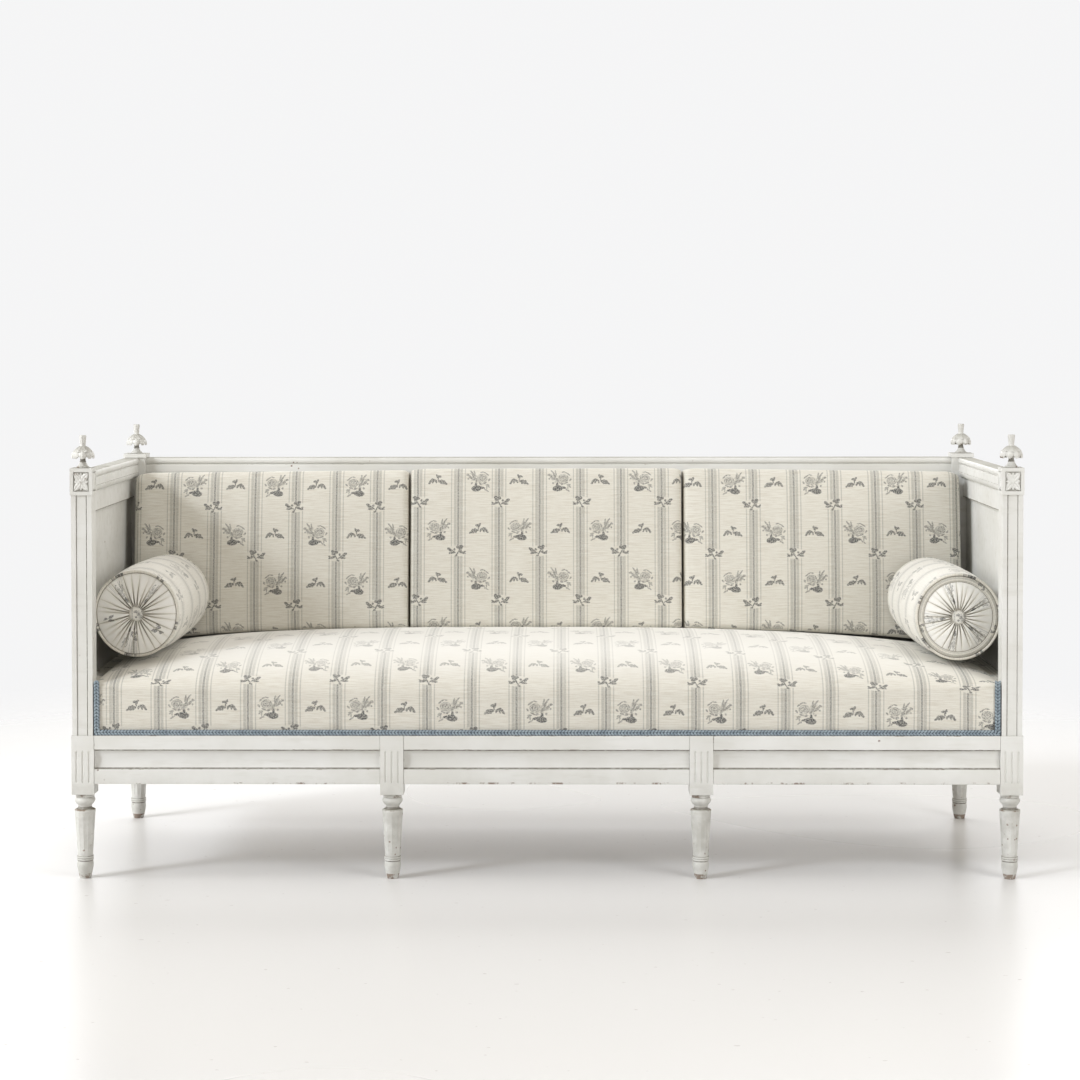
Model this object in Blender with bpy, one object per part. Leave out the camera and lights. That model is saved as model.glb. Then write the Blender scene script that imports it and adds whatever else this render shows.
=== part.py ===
"""A gustavian sofa: a painted frame of posts, rails and panels, an upholstered seat, and loose cushions.

Metres, +Z up. The origin is on the floor under the middle of the sofa, and the front looks towards -Y.
"""

import math

import bmesh
import bpy
from mathutils import Matrix, Vector
from mathutils.bvhtree import BVHTree

for leftover in list(bpy.data.objects):
    bpy.data.objects.remove(leftover, do_unlink=True)

# Frame
WIDTH = 1.953                # over the outsides of the corner posts
DEPTH = 0.664                # front of the front posts to back of the rear posts
HEIGHT = 0.9153              # from the floor to the tips of the finials
POST_WIDTH = 0.046           # square blocks of the corner posts
SHAFT_INSET = 0.0018         # the shaft of a front post stands in from its blocks
UPPER_BLOCK_HEIGHT = 0.0555
LEG_HEIGHT = 0.176
BLOCK_DROP = 0.022           # from the seat rail down to the legs
RAIL_HEIGHT = 0.100
RAIL_THICKNESS = 0.032
RAIL_REVEAL = 0.0006         # rails stand this far back from the faces of the posts
STILE_WIDTH = 0.048          # fluted block over an inner front leg
CLEARANCE = 0.0003           # between pieces that touch or fit

# Hollow along the front rail
COVE_DROP = 0.029            # from the top of the rail
COVE_HEIGHT = 0.040
COVE_DEPTH = 0.009
COVE_QUIRK = 0.003           # square step at the edges of the hollow
COVE_STEPS = 6

# Reeded face of a front post's shaft
REED_STRIP = 0.0095
REED_GROOVE_WIDTH = 0.0024
REED_GROOVE_DEPTH = 0.0032
REED_BAND_DEPTH = 0.0014

# Flutes of the lower blocks
FLUTE_COUNT = 3
FLUTE_SPACING = 0.013
FLUTE_RADIUS = 0.0028
FLUTE_SINK = 0.002
FLUTE_LIFT = 0.024           # from the foot of the block
FLUTE_LENGTH = 0.067
FLUTE_SIDES = 8

# Sunk field and rosette of the upper blocks
FIELD_WIDTH = 0.032
FIELD_HEIGHT = 0.040
FIELD_DEPTH = 0.003
ROSETTE_RADIUS = 0.0145
ROSETTE_RELIEF = 0.0034
ROSETTE_PETALS = 4
ROSETTE_SIDES = 24

# Arm and back rails, measured inwards from their outer faces
ARM_DROP = 0.0095            # from the tops of the posts
ARM_RAIL_HEIGHT = 0.090
BEAD_HEIGHT = 0.014
FASCIA_HEIGHT = 0.0185
FASCIA_INSET = 0.002
LOWER_BEAD_HEIGHT = 0.014
FRIEZE_THICKNESS = 0.0205
BEAD_STEPS = 5
PANEL_THICKNESS = 0.008
PANEL_RECESS = 0.0045        # from the outer face to the panel
GROOVE_DEPTH = 0.006
BACK_STILE_WIDTH = 0.060

# Tenons, dowels and pegs
TENON_THICKNESS = 0.010
TENON_LENGTH = 0.018
TENON_SHOULDER = 0.011       # from a rail's edges to its tenon
ROOT = 0.004                 # how far a tenon's own box starts inside its rail
LEG_DOWEL_RADIUS = 0.010
LEG_DOWEL_LENGTH = 0.020
PEG_RADIUS = 0.005
PEG_LENGTH = 0.018
ROUND_SIDES = 16

# Braces and webbing under the seat
BRACE_WIDTH = 0.036
BRACE_DROP = 0.016           # from the top of the rail
BRACE_HEIGHT = 0.070
WEB_THICKNESS = 0.0025
WEB_WIDTH = 0.060
WEB_CROSS_STRAPS = 12
WEB_LONG_STRAPS = 3
WEB_HOLD = 0.010             # how far a strap reaches over a rail
WEB_MARGIN = 0.030           # from the inside of the posts to the first strap

# Turned leg, radii and drops from the block
LEG_COLLAR_RADIUS = 0.020
LEG_TORUS_RADIUS = 0.022
LEG_NECK_RADIUS = 0.014
LEG_SHOULDER_RADIUS = 0.0215
LEG_ANKLE_RADIUS = 0.015
LEG_RING_RADIUS = 0.017
LEG_FOOT_RADIUS = 0.0118
LEG_FLUTE_DEPTH = 0.0013
LEG_COLLAR_DROP = 0.008
LEG_NECK_DROP = 0.025
LEG_SHOULDER_DROP = 0.034
LEG_RING_DROP = 0.130
LEG_BULB_DROP = 0.141

# Finial, radii and heights above its seat
FINIAL_HEIGHT = 0.067
FINIAL_BASE_RADIUS = 0.014
FINIAL_BASE_HEIGHT = 0.013
FINIAL_NECK_RADIUS = 0.006
FINIAL_LEAF_RADIUS = 0.024
FINIAL_LEAF_NOTCH = 0.0045   # how far the valleys between leaves draw in
FINIAL_LEAF_DROOP = 0.005    # how far the tips hang below the valleys
FINIAL_LEAF_FOOT = 0.024
FINIAL_LEAF_TOP = 0.044
FINIAL_STEM_RADIUS = 0.006
FINIAL_TIP_RADIUS = 0.0078

# Caps of the rear posts
CAP_LIP = 0.003
CAP_HEIGHT = 0.009

# Upholstered seat
SEAT_SETBACK = 0.0045        # from the front of the posts to the fabric
SEAT_RISE = 0.107            # from the rail to its front edge
SEAT_CROWN = 0.075           # rise from that edge to the crown
SEAT_CROWN_SETBACK = 0.300   # from the front edge back to the crown
SEAT_ROLL = 2.2              # roundness of the front roll
SEAT_BACK_FALL = 0.066       # drop from the crown to the back edge
SEAT_END_ROLL = 3.2          # roundness of the fall to the ends
SEAT_STATIONS = 26
SEAT_STEPS = 13

# Braid round the front of the seat
BRAID_WIDTH = 0.0115
BRAID_THICKNESS = 0.0022
BRAID_RISE = 0.111           # from the rail to its upper ends

# Back cushions
CUSHION_GAP = 0.002          # between neighbours
CUSHION_SIDE_GAP = 0.004     # from the inside of the rear posts
CUSHION_BACK_GAP = 0.002     # from the bead of the back rail
CUSHION_DROP = 0.0255        # from the tops of the arms
CUSHION_THICKNESS = 0.095
CUSHION_CROWN = 0.010
CUSHION_ROUND = 0.016
CUSHION_LEAN = math.radians(7)
CUSHION_STATIONS = 7
CUSHION_FACE_STEPS = 5
CUSHION_ARC_STEPS = 3

# Bolsters
BOLSTER_RADIUS = 0.0925
BOLSTER_RIM_RADIUS = 0.0860
BOLSTER_SETBACK = 0.105      # from the front of the posts to the near rim
BOLSTER_SIDE_GAP = 0.011     # to the arm panel
BOLSTER_BACK_GAP = 0.004     # to the back cushion
BOLSTER_END_BULGE = 0.010
BOLSTER_PIPING = 0.003
BOLSTER_PLEATS = 20
BOLSTER_PLEAT_DEPTH = 0.0022
BUTTON_RADIUS = 0.017
BUTTON_THICKNESS = 0.007
BUTTON_SINK = 0.004          # how far the dimple lies behind the rim

# Places that follow from those sizes
PLACES = ("left", "centre", "right")
SIDES = {"left": -1, "right": 1}
UP = Vector((0, 0, 1))
RAIL_BOTTOM = LEG_HEIGHT + BLOCK_DROP
RAIL_TOP = RAIL_BOTTOM + RAIL_HEIGHT
POST_TOP = HEIGHT - FINIAL_HEIGHT - CLEARANCE
ARM_TOP = POST_TOP - ARM_DROP
CUSHION_TOP = ARM_TOP - CUSHION_DROP
SEAT_EDGE = RAIL_TOP + SEAT_RISE
COVE_TOP = RAIL_TOP - COVE_DROP
COVE_BOTTOM = COVE_TOP - COVE_HEIGHT
FLUTE_BOTTOM = LEG_HEIGHT + FLUTE_LIFT
FLUTE_TOP = FLUTE_BOTTOM + FLUTE_LENGTH
BRACE_TOP = RAIL_TOP - BRACE_DROP
BRACE_BOTTOM = BRACE_TOP - BRACE_HEIGHT
HALF = WIDTH / 2
FRONT_REACH = max(0.0, FINIAL_LEAF_RADIUS - POST_WIDTH / 2)
FRONT = -(FRONT_REACH + DEPTH + CAP_LIP) / 2 + FRONT_REACH
BACK = FRONT + DEPTH
LEG_X = HALF - POST_WIDTH / 2
FRONT_LEG_Y = FRONT + POST_WIDTH / 2
REAR_LEG_Y = BACK - POST_WIDTH / 2
POST_INSIDE = HALF - POST_WIDTH
INNER_LEG_X = LEG_X / len(PLACES)
UPPER_BLOCK_BOTTOM = POST_TOP - UPPER_BLOCK_HEIGHT
ARM_BOTTOM = ARM_TOP - ARM_RAIL_HEIGHT
PANEL_INSIDE = HALF - RAIL_REVEAL - PANEL_RECESS - PANEL_THICKNESS
BACK_PANEL_FRONT = BACK - RAIL_REVEAL - PANEL_RECESS - PANEL_THICKNESS
BACK_STILE_FRONT = BACK - RAIL_REVEAL - FRIEZE_THICKNESS
BACK_RAIL_FRONT = BACK - RAIL_REVEAL - RAIL_THICKNESS
REAR_POST_FRONT = BACK - POST_WIDTH
SEAT_FRONT = FRONT + SEAT_SETBACK
SEAT_BACK = BACK_STILE_FRONT - CLEARANCE
SEAT_BOTTOM = RAIL_TOP + WEB_THICKNESS + 2 * CLEARANCE
SEAT_HALF = POST_INSIDE - CLEARANCE

# Colours, roughness
PAINT = ((0.76, 0.75, 0.70), 0.45)
BARE_WOOD = ((0.45, 0.30, 0.17), 0.7)
FABRIC = ((0.77, 0.74, 0.64), 0.9)
BRAID = ((0.22, 0.29, 0.35), 0.85)
JUTE = ((0.42, 0.31, 0.18), 0.95)


def finish(name, look):
    """A material of the object's own."""
    colour, roughness = look
    material = bpy.data.materials.new(name + "_finish")
    material.use_nodes = True
    shader = material.node_tree.nodes["Principled BSDF"]
    shader.inputs["Base Color"].default_value = (*colour, 1)
    shader.inputs["Roughness"].default_value = roughness
    shader.inputs["Metallic"].default_value = 0.0
    return material


def make(name, rings, look=PAINT, smooth=False):
    """A closed solid lofted through rings of points, with a flat face at each end."""
    shape = bmesh.new()
    loops = [[shape.verts.new(point) for point in ring] for ring in rings]
    for lower, upper in zip(loops, loops[1:]):
        count = len(lower)
        for i in range(count):
            j = (i + 1) % count
            shape.faces.new((lower[i], lower[j], upper[j], upper[i]))
    shape.faces.new(list(reversed(loops[0])))
    shape.faces.new(loops[-1])
    return build(name, shape, look, smooth)


def build(name, shape, look, smooth=False):
    """An object from a finished shape, with its faces turned outwards."""
    bmesh.ops.recalc_face_normals(shape, faces=shape.faces)
    mesh = bpy.data.meshes.new(name)
    shape.to_mesh(mesh)
    shape.free()
    if smooth:
        mesh.shade_smooth()
        mesh.set_sharp_from_angle(angle=math.radians(40))
    if look:
        mesh.materials.append(finish(name, look))
    piece = bpy.data.objects.new(name, mesh)
    bpy.context.scene.collection.objects.link(piece)
    return piece


def slab(name, xs, ys, kept, bottom, top, look, smooth=False):
    """A solid over the kept cells of a grid, from a flat underside up to top(x, y)."""
    shape = bmesh.new()
    points = {}
    for i in range(len(xs) - 1):
        for j in range(len(ys) - 1):
            if not kept(i, j):
                continue
            corners = ((i, j), (i + 1, j), (i + 1, j + 1), (i, j + 1))
            for a, b in corners:
                if (a, b) not in points:
                    points[a, b] = shape.verts.new((xs[a], ys[b], bottom))
            shape.faces.new([points[corner] for corner in corners])
    grown = bmesh.ops.extrude_face_region(shape, geom=list(shape.faces), use_keep_orig=True)
    for item in grown["geom"]:
        if isinstance(item, bmesh.types.BMVert):
            item.co.z = top(item.co.x, item.co.y)
    return build(name, shape, look, smooth)


def box(name, low, high, look=PAINT):
    (x0, y0, z0), (x1, y1, z1) = low, high
    corners = ((x0, y0), (x1, y0), (x1, y1), (x0, y1))
    return make(name, [[(x, y, z) for x, y in corners] for z in (z0, z1)], look)


def along_x(outline, x0, x1):
    """Rings of an outline of (y, z) points, carried along X."""
    return [[(x, y, z) for y, z in outline] for x in (x0, x1)]


def along_y(outline, y0, y1):
    """Rings of an outline of (x, z) points, carried along Y."""
    return [[(x, y, z) for x, z in outline] for y in (y0, y1)]


def along_z(outline, z0, z1):
    """Rings of an outline of (x, y) points, carried along Z."""
    return [[(x, y, z) for x, y in outline] for z in (z0, z1)]


def combine(piece, tool, operation):
    """The piece after a Boolean with a tool, which is used up."""
    modifier = piece.modifiers.new("combine", "BOOLEAN")
    modifier.object = tool
    modifier.operation = operation
    modifier.solver = "EXACT"
    graph = bpy.context.evaluated_depsgraph_get()
    shaped = bpy.data.meshes.new_from_object(piece.evaluated_get(graph))
    piece.modifiers.clear()
    piece.data = shaped
    bpy.data.objects.remove(tool, do_unlink=True)


def cut_box(piece, low, high):
    combine(piece, box("cutter", low, high, None), "DIFFERENCE")


def fuse_box(piece, low, high):
    combine(piece, box("tool", low, high, None), "UNION")


def disc(radius, sides=ROUND_SIDES):
    turn = 2 * math.pi / sides
    return [(radius * math.cos(turn * i), radius * math.sin(turn * i)) for i in range(sides)]


def drill(piece, x, y, z0, z1, radius):
    """A round hole up or down through a piece."""
    outline = [(x + u, y + v) for u, v in disc(radius + CLEARANCE)]
    combine(piece, make("drill", along_z(outline, z0, z1), None), "DIFFERENCE")


def tenon(rail, post, axis, way, face, section):
    """A tenon on a rail and its mortise in a post, past a face at right angles to an axis.

    way is +1 or -1 along the axis, into the post. section gives the tenon's span on the other two axes.
    """
    spans = dict(section)
    spans[axis] = sorted((face - way * ROOT, face + way * TENON_LENGTH))
    fuse_box(rail, *zip(*(spans[i] for i in range(3))))
    loose = {i: (low - CLEARANCE, high + CLEARANCE) for i, (low, high) in section.items()}
    loose[axis] = sorted((face - way * ROOT, face + way * (TENON_LENGTH + CLEARANCE)))
    cut_box(post, *zip(*(loose[i] for i in range(3))))


def span(middle, width):
    return (middle - width / 2, middle + width / 2)


# Posts

def reeded(start, stop, inward):
    """Outline points along one face of a shaft, with a sunk band between two grooves."""
    start, stop, inward = Vector(start), Vector(stop), Vector(inward)
    along = (stop - start).normalized()
    length = (stop - start).length
    strip, groove = REED_STRIP, REED_GROOVE_WIDTH
    steps = [(strip, 0), (strip + groove / 2, REED_GROOVE_DEPTH), (strip + groove, REED_BAND_DEPTH)]
    steps += [(length - far, deep) for far, deep in reversed(steps)]
    return [tuple(start + along * far + inward * deep) for far, deep in steps]


def flute(piece, x, y):
    """One upright flute with round ends, cut into a face at (x, y)."""
    ends = ((FLUTE_BOTTOM, 0.3), (FLUTE_BOTTOM + FLUTE_RADIUS, 1.0),
            (FLUTE_TOP - FLUTE_RADIUS, 1.0), (FLUTE_TOP, 0.3))
    rings = [[(x + u, y + v, z) for u, v in disc(FLUTE_RADIUS * share, FLUTE_SIDES)] for z, share in ends]
    combine(piece, make("flute", rings, None), "DIFFERENCE")


def flutes(piece, middle, face, axis, outward):
    """A row of flutes across a face; axis says which way the face looks."""
    centre = face + outward * (FLUTE_RADIUS - FLUTE_SINK)
    for i in range(FLUTE_COUNT):
        across = middle + (i - (FLUTE_COUNT - 1) / 2) * FLUTE_SPACING
        flute(piece, *((across, centre) if axis == 1 else (centre, across)))


def front_post(side, way):
    """A front corner post: fluted block, reeded shaft, and a block with sunk fields."""
    x, y, half = way * LEG_X, FRONT_LEG_Y, POST_WIDTH / 2
    shaft = half - SHAFT_INSET
    corner = {(u, v): (x + u * way * shaft, y + v * shaft) for u in (-1, 1) for v in (-1, 1)}
    outline = [corner[-1, -1], *reeded(corner[-1, -1], corner[1, -1], (0, 1)),
               corner[1, -1], *reeded(corner[1, -1], corner[1, 1], (-way, 0)),
               corner[1, 1], corner[-1, 1]]
    post = make("front_post_" + side, along_z(outline, RAIL_TOP - ROOT, UPPER_BLOCK_BOTTOM + ROOT))
    for low, high in ((LEG_HEIGHT, RAIL_TOP), (UPPER_BLOCK_BOTTOM, POST_TOP)):
        fuse_box(post, (x - half, y - half, low), (x + half, y + half, high))
    flutes(post, x, y - half, 1, -1)
    flutes(post, y, x + way * half, 0, way)
    middle = (UPPER_BLOCK_BOTTOM + POST_TOP) / 2
    up = span(middle, FIELD_HEIGHT)
    across = span(x, FIELD_WIDTH)
    cut_box(post, (across[0], y - half - ROOT, up[0]), (across[1], y - half + FIELD_DEPTH, up[1]))
    across = span(y, FIELD_WIDTH)
    for face in (-1, 1):
        reach = sorted((x + face * (half - FIELD_DEPTH), x + face * (half + ROOT)))
        cut_box(post, (reach[0], across[0], up[0]), (reach[1], across[1], up[1]))
    return post


def rosette(name, centre, out, across):
    """A carved rosette of pointed petals lying in a sunk field."""
    centre, out, across = Vector(centre), Vector(out), Vector(across)
    rings = []
    for share, rise in ((1.0, 0.0), (1.0, 0.35), (0.72, 0.9), (0.34, 0.45), (0.24, 1.0)):
        ring = []
        for i in range(ROSETTE_SIDES):
            turn = 2 * math.pi * i / ROSETTE_SIDES
            petal = 0.70 + 0.30 * abs(math.cos(ROSETTE_PETALS / 2 * turn))
            reach = ROSETTE_RADIUS * share * (petal if share > 0.5 else 1.0)
            flat = across * math.cos(turn) + UP * math.sin(turn)
            ring.append(centre + flat * reach + out * (CLEARANCE + rise * ROSETTE_RELIEF))
        rings.append(ring)
    return make(name, rings, PAINT, smooth=True)


def rosettes(side, way):
    middle = (UPPER_BLOCK_BOTTOM + POST_TOP) / 2
    floor = POST_WIDTH / 2 - FIELD_DEPTH
    x, y = way * LEG_X, FRONT_LEG_Y
    rosette(f"rosette_front_{side}", (x, y - floor, middle), (0, -1, 0), (1, 0, 0))
    rosette(f"rosette_outer_{side}", (x + way * floor, y, middle), (way, 0, 0), (0, 1, 0))
    rosette(f"rosette_inner_{side}", (x - way * floor, y, middle), (-way, 0, 0), (0, 1, 0))


def rear_post(side, way):
    x, half = way * LEG_X, POST_WIDTH / 2
    low = (x - half, REAR_LEG_Y - half, LEG_HEIGHT)
    high = (x + half, REAR_LEG_Y + half, POST_TOP - CAP_HEIGHT - CLEARANCE)
    return box("rear_post_" + side, low, high)


def rear_cap(side, way):
    """The square cap between a rear post and its finial, with a hole for the peg."""
    x, half = way * LEG_X, POST_WIDTH / 2 + CAP_LIP
    cap = box("rear_cap_" + side, (x - half, REAR_LEG_Y - half, POST_TOP - CAP_HEIGHT),
              (x + half, REAR_LEG_Y + half, POST_TOP))
    drill(cap, x, REAR_LEG_Y, POST_TOP - CAP_HEIGHT - ROOT, POST_TOP + ROOT, PEG_RADIUS)
    return cap


# Turned pieces

def leg(name, x, y):
    """A turned leg with a round tenon above, a fluted taper and a small bulb foot."""
    top = LEG_HEIGHT - CLEARANCE
    bulge = (LEG_NECK_DROP - LEG_COLLAR_DROP) * 0.45
    profile = [(LEG_HEIGHT + LEG_DOWEL_LENGTH, LEG_DOWEL_RADIUS, 0), (top, LEG_DOWEL_RADIUS, 0),
               (top, LEG_COLLAR_RADIUS, 0), (top - LEG_COLLAR_DROP * 0.8, LEG_COLLAR_RADIUS, 0),
               (top - LEG_COLLAR_DROP, LEG_TORUS_RADIUS * 0.8, 0)]
    middle = top - LEG_COLLAR_DROP - bulge
    for turn in (60, 20, -20, -60):
        angle = math.radians(turn)
        swell = LEG_TORUS_RADIUS * (0.8 + 0.2 * math.cos(angle))
        profile.append((middle + bulge * math.sin(angle), swell, 0))
    neck, shoulder = LEG_HEIGHT - LEG_NECK_DROP, LEG_HEIGHT - LEG_SHOULDER_DROP
    ring, bulb = LEG_HEIGHT - LEG_RING_DROP, LEG_HEIGHT - LEG_BULB_DROP
    profile += [(neck, LEG_NECK_RADIUS, 0), (shoulder, LEG_SHOULDER_RADIUS, 0),
                (shoulder + (ring - shoulder) * 0.12, LEG_SHOULDER_RADIUS * 0.97, 1),
                (ring + (shoulder - ring) * 0.08, LEG_ANKLE_RADIUS * 1.03, 1),
                (ring, LEG_ANKLE_RADIUS, 0), (ring, LEG_RING_RADIUS, 0),
                (ring + (bulb - ring) * 0.8, LEG_RING_RADIUS, 0), (bulb, LEG_ANKLE_RADIUS, 0),
                (bulb * 0.9, LEG_RING_RADIUS, 0), (bulb * 0.7, LEG_RING_RADIUS, 0),
                (bulb * 0.25, LEG_FOOT_RADIUS * 1.1, 0), (0, LEG_FOOT_RADIUS, 0)]
    rings = []
    for z, radius, fluted in profile:
        ring_points = []
        for i in range(ROUND_SIDES):
            turn = 2 * math.pi * i / ROUND_SIDES
            reach = radius - (LEG_FLUTE_DEPTH if fluted and i % 2 else 0)
            ring_points.append((x + reach * math.cos(turn), y + reach * math.sin(turn), z))
        rings.append(ring_points)
    return make(name, rings, PAINT, smooth=True)


def finial(name, x, y):
    """A turned finial on a peg, with a ring of drooping leaves under a flared stem."""
    seat = POST_TOP + CLEARANCE
    neck_top = FINIAL_BASE_HEIGHT + (FINIAL_LEAF_FOOT - FINIAL_BASE_HEIGHT) * 0.45
    cup = FINIAL_LEAF_TOP - FINIAL_LEAF_FOOT
    profile = [(-PEG_LENGTH, PEG_RADIUS, 0), (0, PEG_RADIUS, 0), (0, FINIAL_BASE_RADIUS, 0),
               (FINIAL_BASE_HEIGHT * 0.3, FINIAL_BASE_RADIUS, 0),
               (FINIAL_BASE_HEIGHT * 0.7, FINIAL_BASE_RADIUS * 0.72, 0),
               (FINIAL_BASE_HEIGHT, FINIAL_NECK_RADIUS, 0), (neck_top, FINIAL_NECK_RADIUS, 0),
               (FINIAL_LEAF_FOOT, FINIAL_LEAF_RADIUS * 0.8, 0.7), (FINIAL_LEAF_FOOT, FINIAL_LEAF_RADIUS, 1),
               (FINIAL_LEAF_FOOT + cup * 0.35, FINIAL_LEAF_RADIUS * 0.9, 0.5),
               (FINIAL_LEAF_FOOT + cup * 0.75, FINIAL_LEAF_RADIUS * 0.62, 0.25),
               (FINIAL_LEAF_TOP, FINIAL_LEAF_RADIUS * 0.33, 0),
               (FINIAL_LEAF_TOP + 0.1 * cup, FINIAL_STEM_RADIUS, 0), (FINIAL_HEIGHT, FINIAL_TIP_RADIUS, 0)]
    rings = []
    for height, radius, leafy in profile:
        ring = []
        for i in range(ROUND_SIDES):
            turn = 2 * math.pi * i / ROUND_SIDES
            reach = radius - (leafy * FINIAL_LEAF_NOTCH if i % 2 else 0)
            droop = 0 if i % 2 else leafy * FINIAL_LEAF_DROOP
            ring.append((x + reach * math.cos(turn), y + reach * math.sin(turn), seat + height - droop))
        rings.append(ring)
    return make(name, rings, PAINT, smooth=True)


# Rails, stiles and panels

def cove_outline():
    """Section of the front rail as (y, z): two flat bands with a hollow between them."""
    face = FRONT + RAIL_REVEAL
    middle, rise = (COVE_TOP + COVE_BOTTOM) / 2, (COVE_TOP - COVE_BOTTOM) / 2
    hollow = []
    for i in range(COVE_STEPS + 1):
        angle = math.pi * (i / COVE_STEPS - 0.5)
        deep = COVE_QUIRK + (COVE_DEPTH - COVE_QUIRK) * math.cos(angle)
        hollow.append((face + deep, middle + rise * math.sin(angle)))
    back = face + RAIL_THICKNESS
    return [(face, RAIL_BOTTOM), (face, COVE_BOTTOM), *hollow, (face, COVE_TOP), (face, RAIL_TOP),
            (back, RAIL_TOP), (back, RAIL_BOTTOM)]


def front_rail(name, x0, x1):
    return make(name, along_x(cove_outline(), x0 + CLEARANCE, x1 - CLEARANCE))


def grooved_outline():
    """Section of a side or rear seat rail as (in from its outer face, z), with a groove for the panel."""
    near, far = PANEL_RECESS - CLEARANCE, PANEL_RECESS + PANEL_THICKNESS + CLEARANCE
    floor = RAIL_TOP - GROOVE_DEPTH - CLEARANCE
    return [(0, RAIL_BOTTOM), (0, RAIL_TOP), (near, RAIL_TOP), (near, floor), (far, floor), (far, RAIL_TOP),
            (RAIL_THICKNESS, RAIL_TOP), (RAIL_THICKNESS, RAIL_BOTTOM)]


def moulded_outline():
    """Section of an arm or back rail as (in from its outer face, z): bead, fascia, bead, frieze, groove."""
    near, far = PANEL_RECESS - CLEARANCE, PANEL_RECESS + PANEL_THICKNESS + CLEARANCE
    roof = ARM_BOTTOM + GROOVE_DEPTH + CLEARANCE
    fascia_top = ARM_TOP - BEAD_HEIGHT
    bead_top = fascia_top - FASCIA_HEIGHT
    fascia = RAIL_THICKNESS - FASCIA_INSET
    points = [(0, ARM_BOTTOM), (0, ARM_TOP)]
    soft = BEAD_HEIGHT / 2
    for i in range(BEAD_STEPS + 1):
        angle = math.pi / 2 * (1 - 2 * i / BEAD_STEPS)
        points.append((RAIL_THICKNESS - soft * 0.5 * (1 - math.cos(angle)),
                       ARM_TOP - soft + soft * math.sin(angle)))
    points += [(fascia - FASCIA_INSET, fascia_top), (fascia, fascia_top - FASCIA_INSET), (fascia, bead_top)]
    for i in range(BEAD_STEPS + 1):
        angle = math.pi / 2 * i / BEAD_STEPS
        points.append((FRIEZE_THICKNESS + (RAIL_THICKNESS - FRIEZE_THICKNESS) * math.cos(angle),
                       bead_top - LOWER_BEAD_HEIGHT * math.sin(angle)))
    points += [(FRIEZE_THICKNESS, ARM_BOTTOM), (far, ARM_BOTTOM), (far, roof), (near, roof),
               (near, ARM_BOTTOM)]
    return points


def side_piece(name, way, outline):
    """A rail between a front and a rear post, from a section measured in from the outside."""
    shape = [(way * (HALF - RAIL_REVEAL - u), z) for u, z in outline]
    return make(name, along_y(shape, FRONT + POST_WIDTH + CLEARANCE, REAR_POST_FRONT - CLEARANCE))


def back_piece(name, outline):
    """A rail between the rear posts, from a section measured in from the back."""
    shape = [(BACK - RAIL_REVEAL - u, z) for u, z in outline]
    return make(name, along_x(shape, -POST_INSIDE + CLEARANCE, POST_INSIDE - CLEARANCE))


def panel_heights():
    return RAIL_TOP - GROOVE_DEPTH, ARM_BOTTOM + GROOVE_DEPTH


def arm_panel(side, way):
    low, high = panel_heights()
    x0, x1 = sorted((way * PANEL_INSIDE, way * (PANEL_INSIDE + PANEL_THICKNESS)))
    y0, y1 = FRONT + POST_WIDTH - GROOVE_DEPTH, REAR_POST_FRONT + GROOVE_DEPTH
    return box("arm_panel_" + side, (x0, y0, low), (x1, y1, high))


def back_panel(name, x0, x1):
    low, high = panel_heights()
    return box(name, (x0 - GROOVE_DEPTH, BACK_PANEL_FRONT, low),
               (x1 + GROOVE_DEPTH, BACK_PANEL_FRONT + PANEL_THICKNESS, high))


def back_stile(side, way):
    """An upright between two back panels, grooved down both edges and tongued at both ends."""
    x, half = way * INNER_LEG_X, BACK_STILE_WIDTH / 2
    y0, y1 = BACK_STILE_FRONT, BACK - RAIL_REVEAL
    near, far = BACK_PANEL_FRONT - CLEARANCE, BACK_PANEL_FRONT + PANEL_THICKNESS + CLEARANCE
    deep = half - GROOVE_DEPTH - CLEARANCE
    right = [(x + half, y0), (x + half, near), (x + deep, near), (x + deep, far), (x + half, far),
             (x + half, y1)]
    left = [(2 * x - u, v) for u, v in reversed(right)]
    stile = make("back_stile_" + side, along_z(right + left, RAIL_TOP + CLEARANCE, ARM_BOTTOM - CLEARANCE))
    low, high = panel_heights()
    fuse_box(stile, (x - deep + ROOT, BACK_PANEL_FRONT, low),
             (x + deep - ROOT, BACK_PANEL_FRONT + PANEL_THICKNESS, high))
    return stile


def front_stile(side, way):
    """The fluted block over an inner front leg."""
    x, half = way * INNER_LEG_X, STILE_WIDTH / 2
    low, high = (x - half, FRONT, LEG_HEIGHT), (x + half, FRONT + POST_WIDTH, RAIL_TOP)
    block = box("front_stile_" + side, low, high)
    flutes(block, x, FRONT, 1, -1)
    return block


def brace(side, way):
    x, half = way * INNER_LEG_X, BRACE_WIDTH / 2
    return box("seat_brace_" + side, (x - half, FRONT + POST_WIDTH + CLEARANCE, BRACE_BOTTOM),
               (x + half, BACK_RAIL_FRONT - CLEARANCE, BRACE_TOP), BARE_WOOD)


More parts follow.
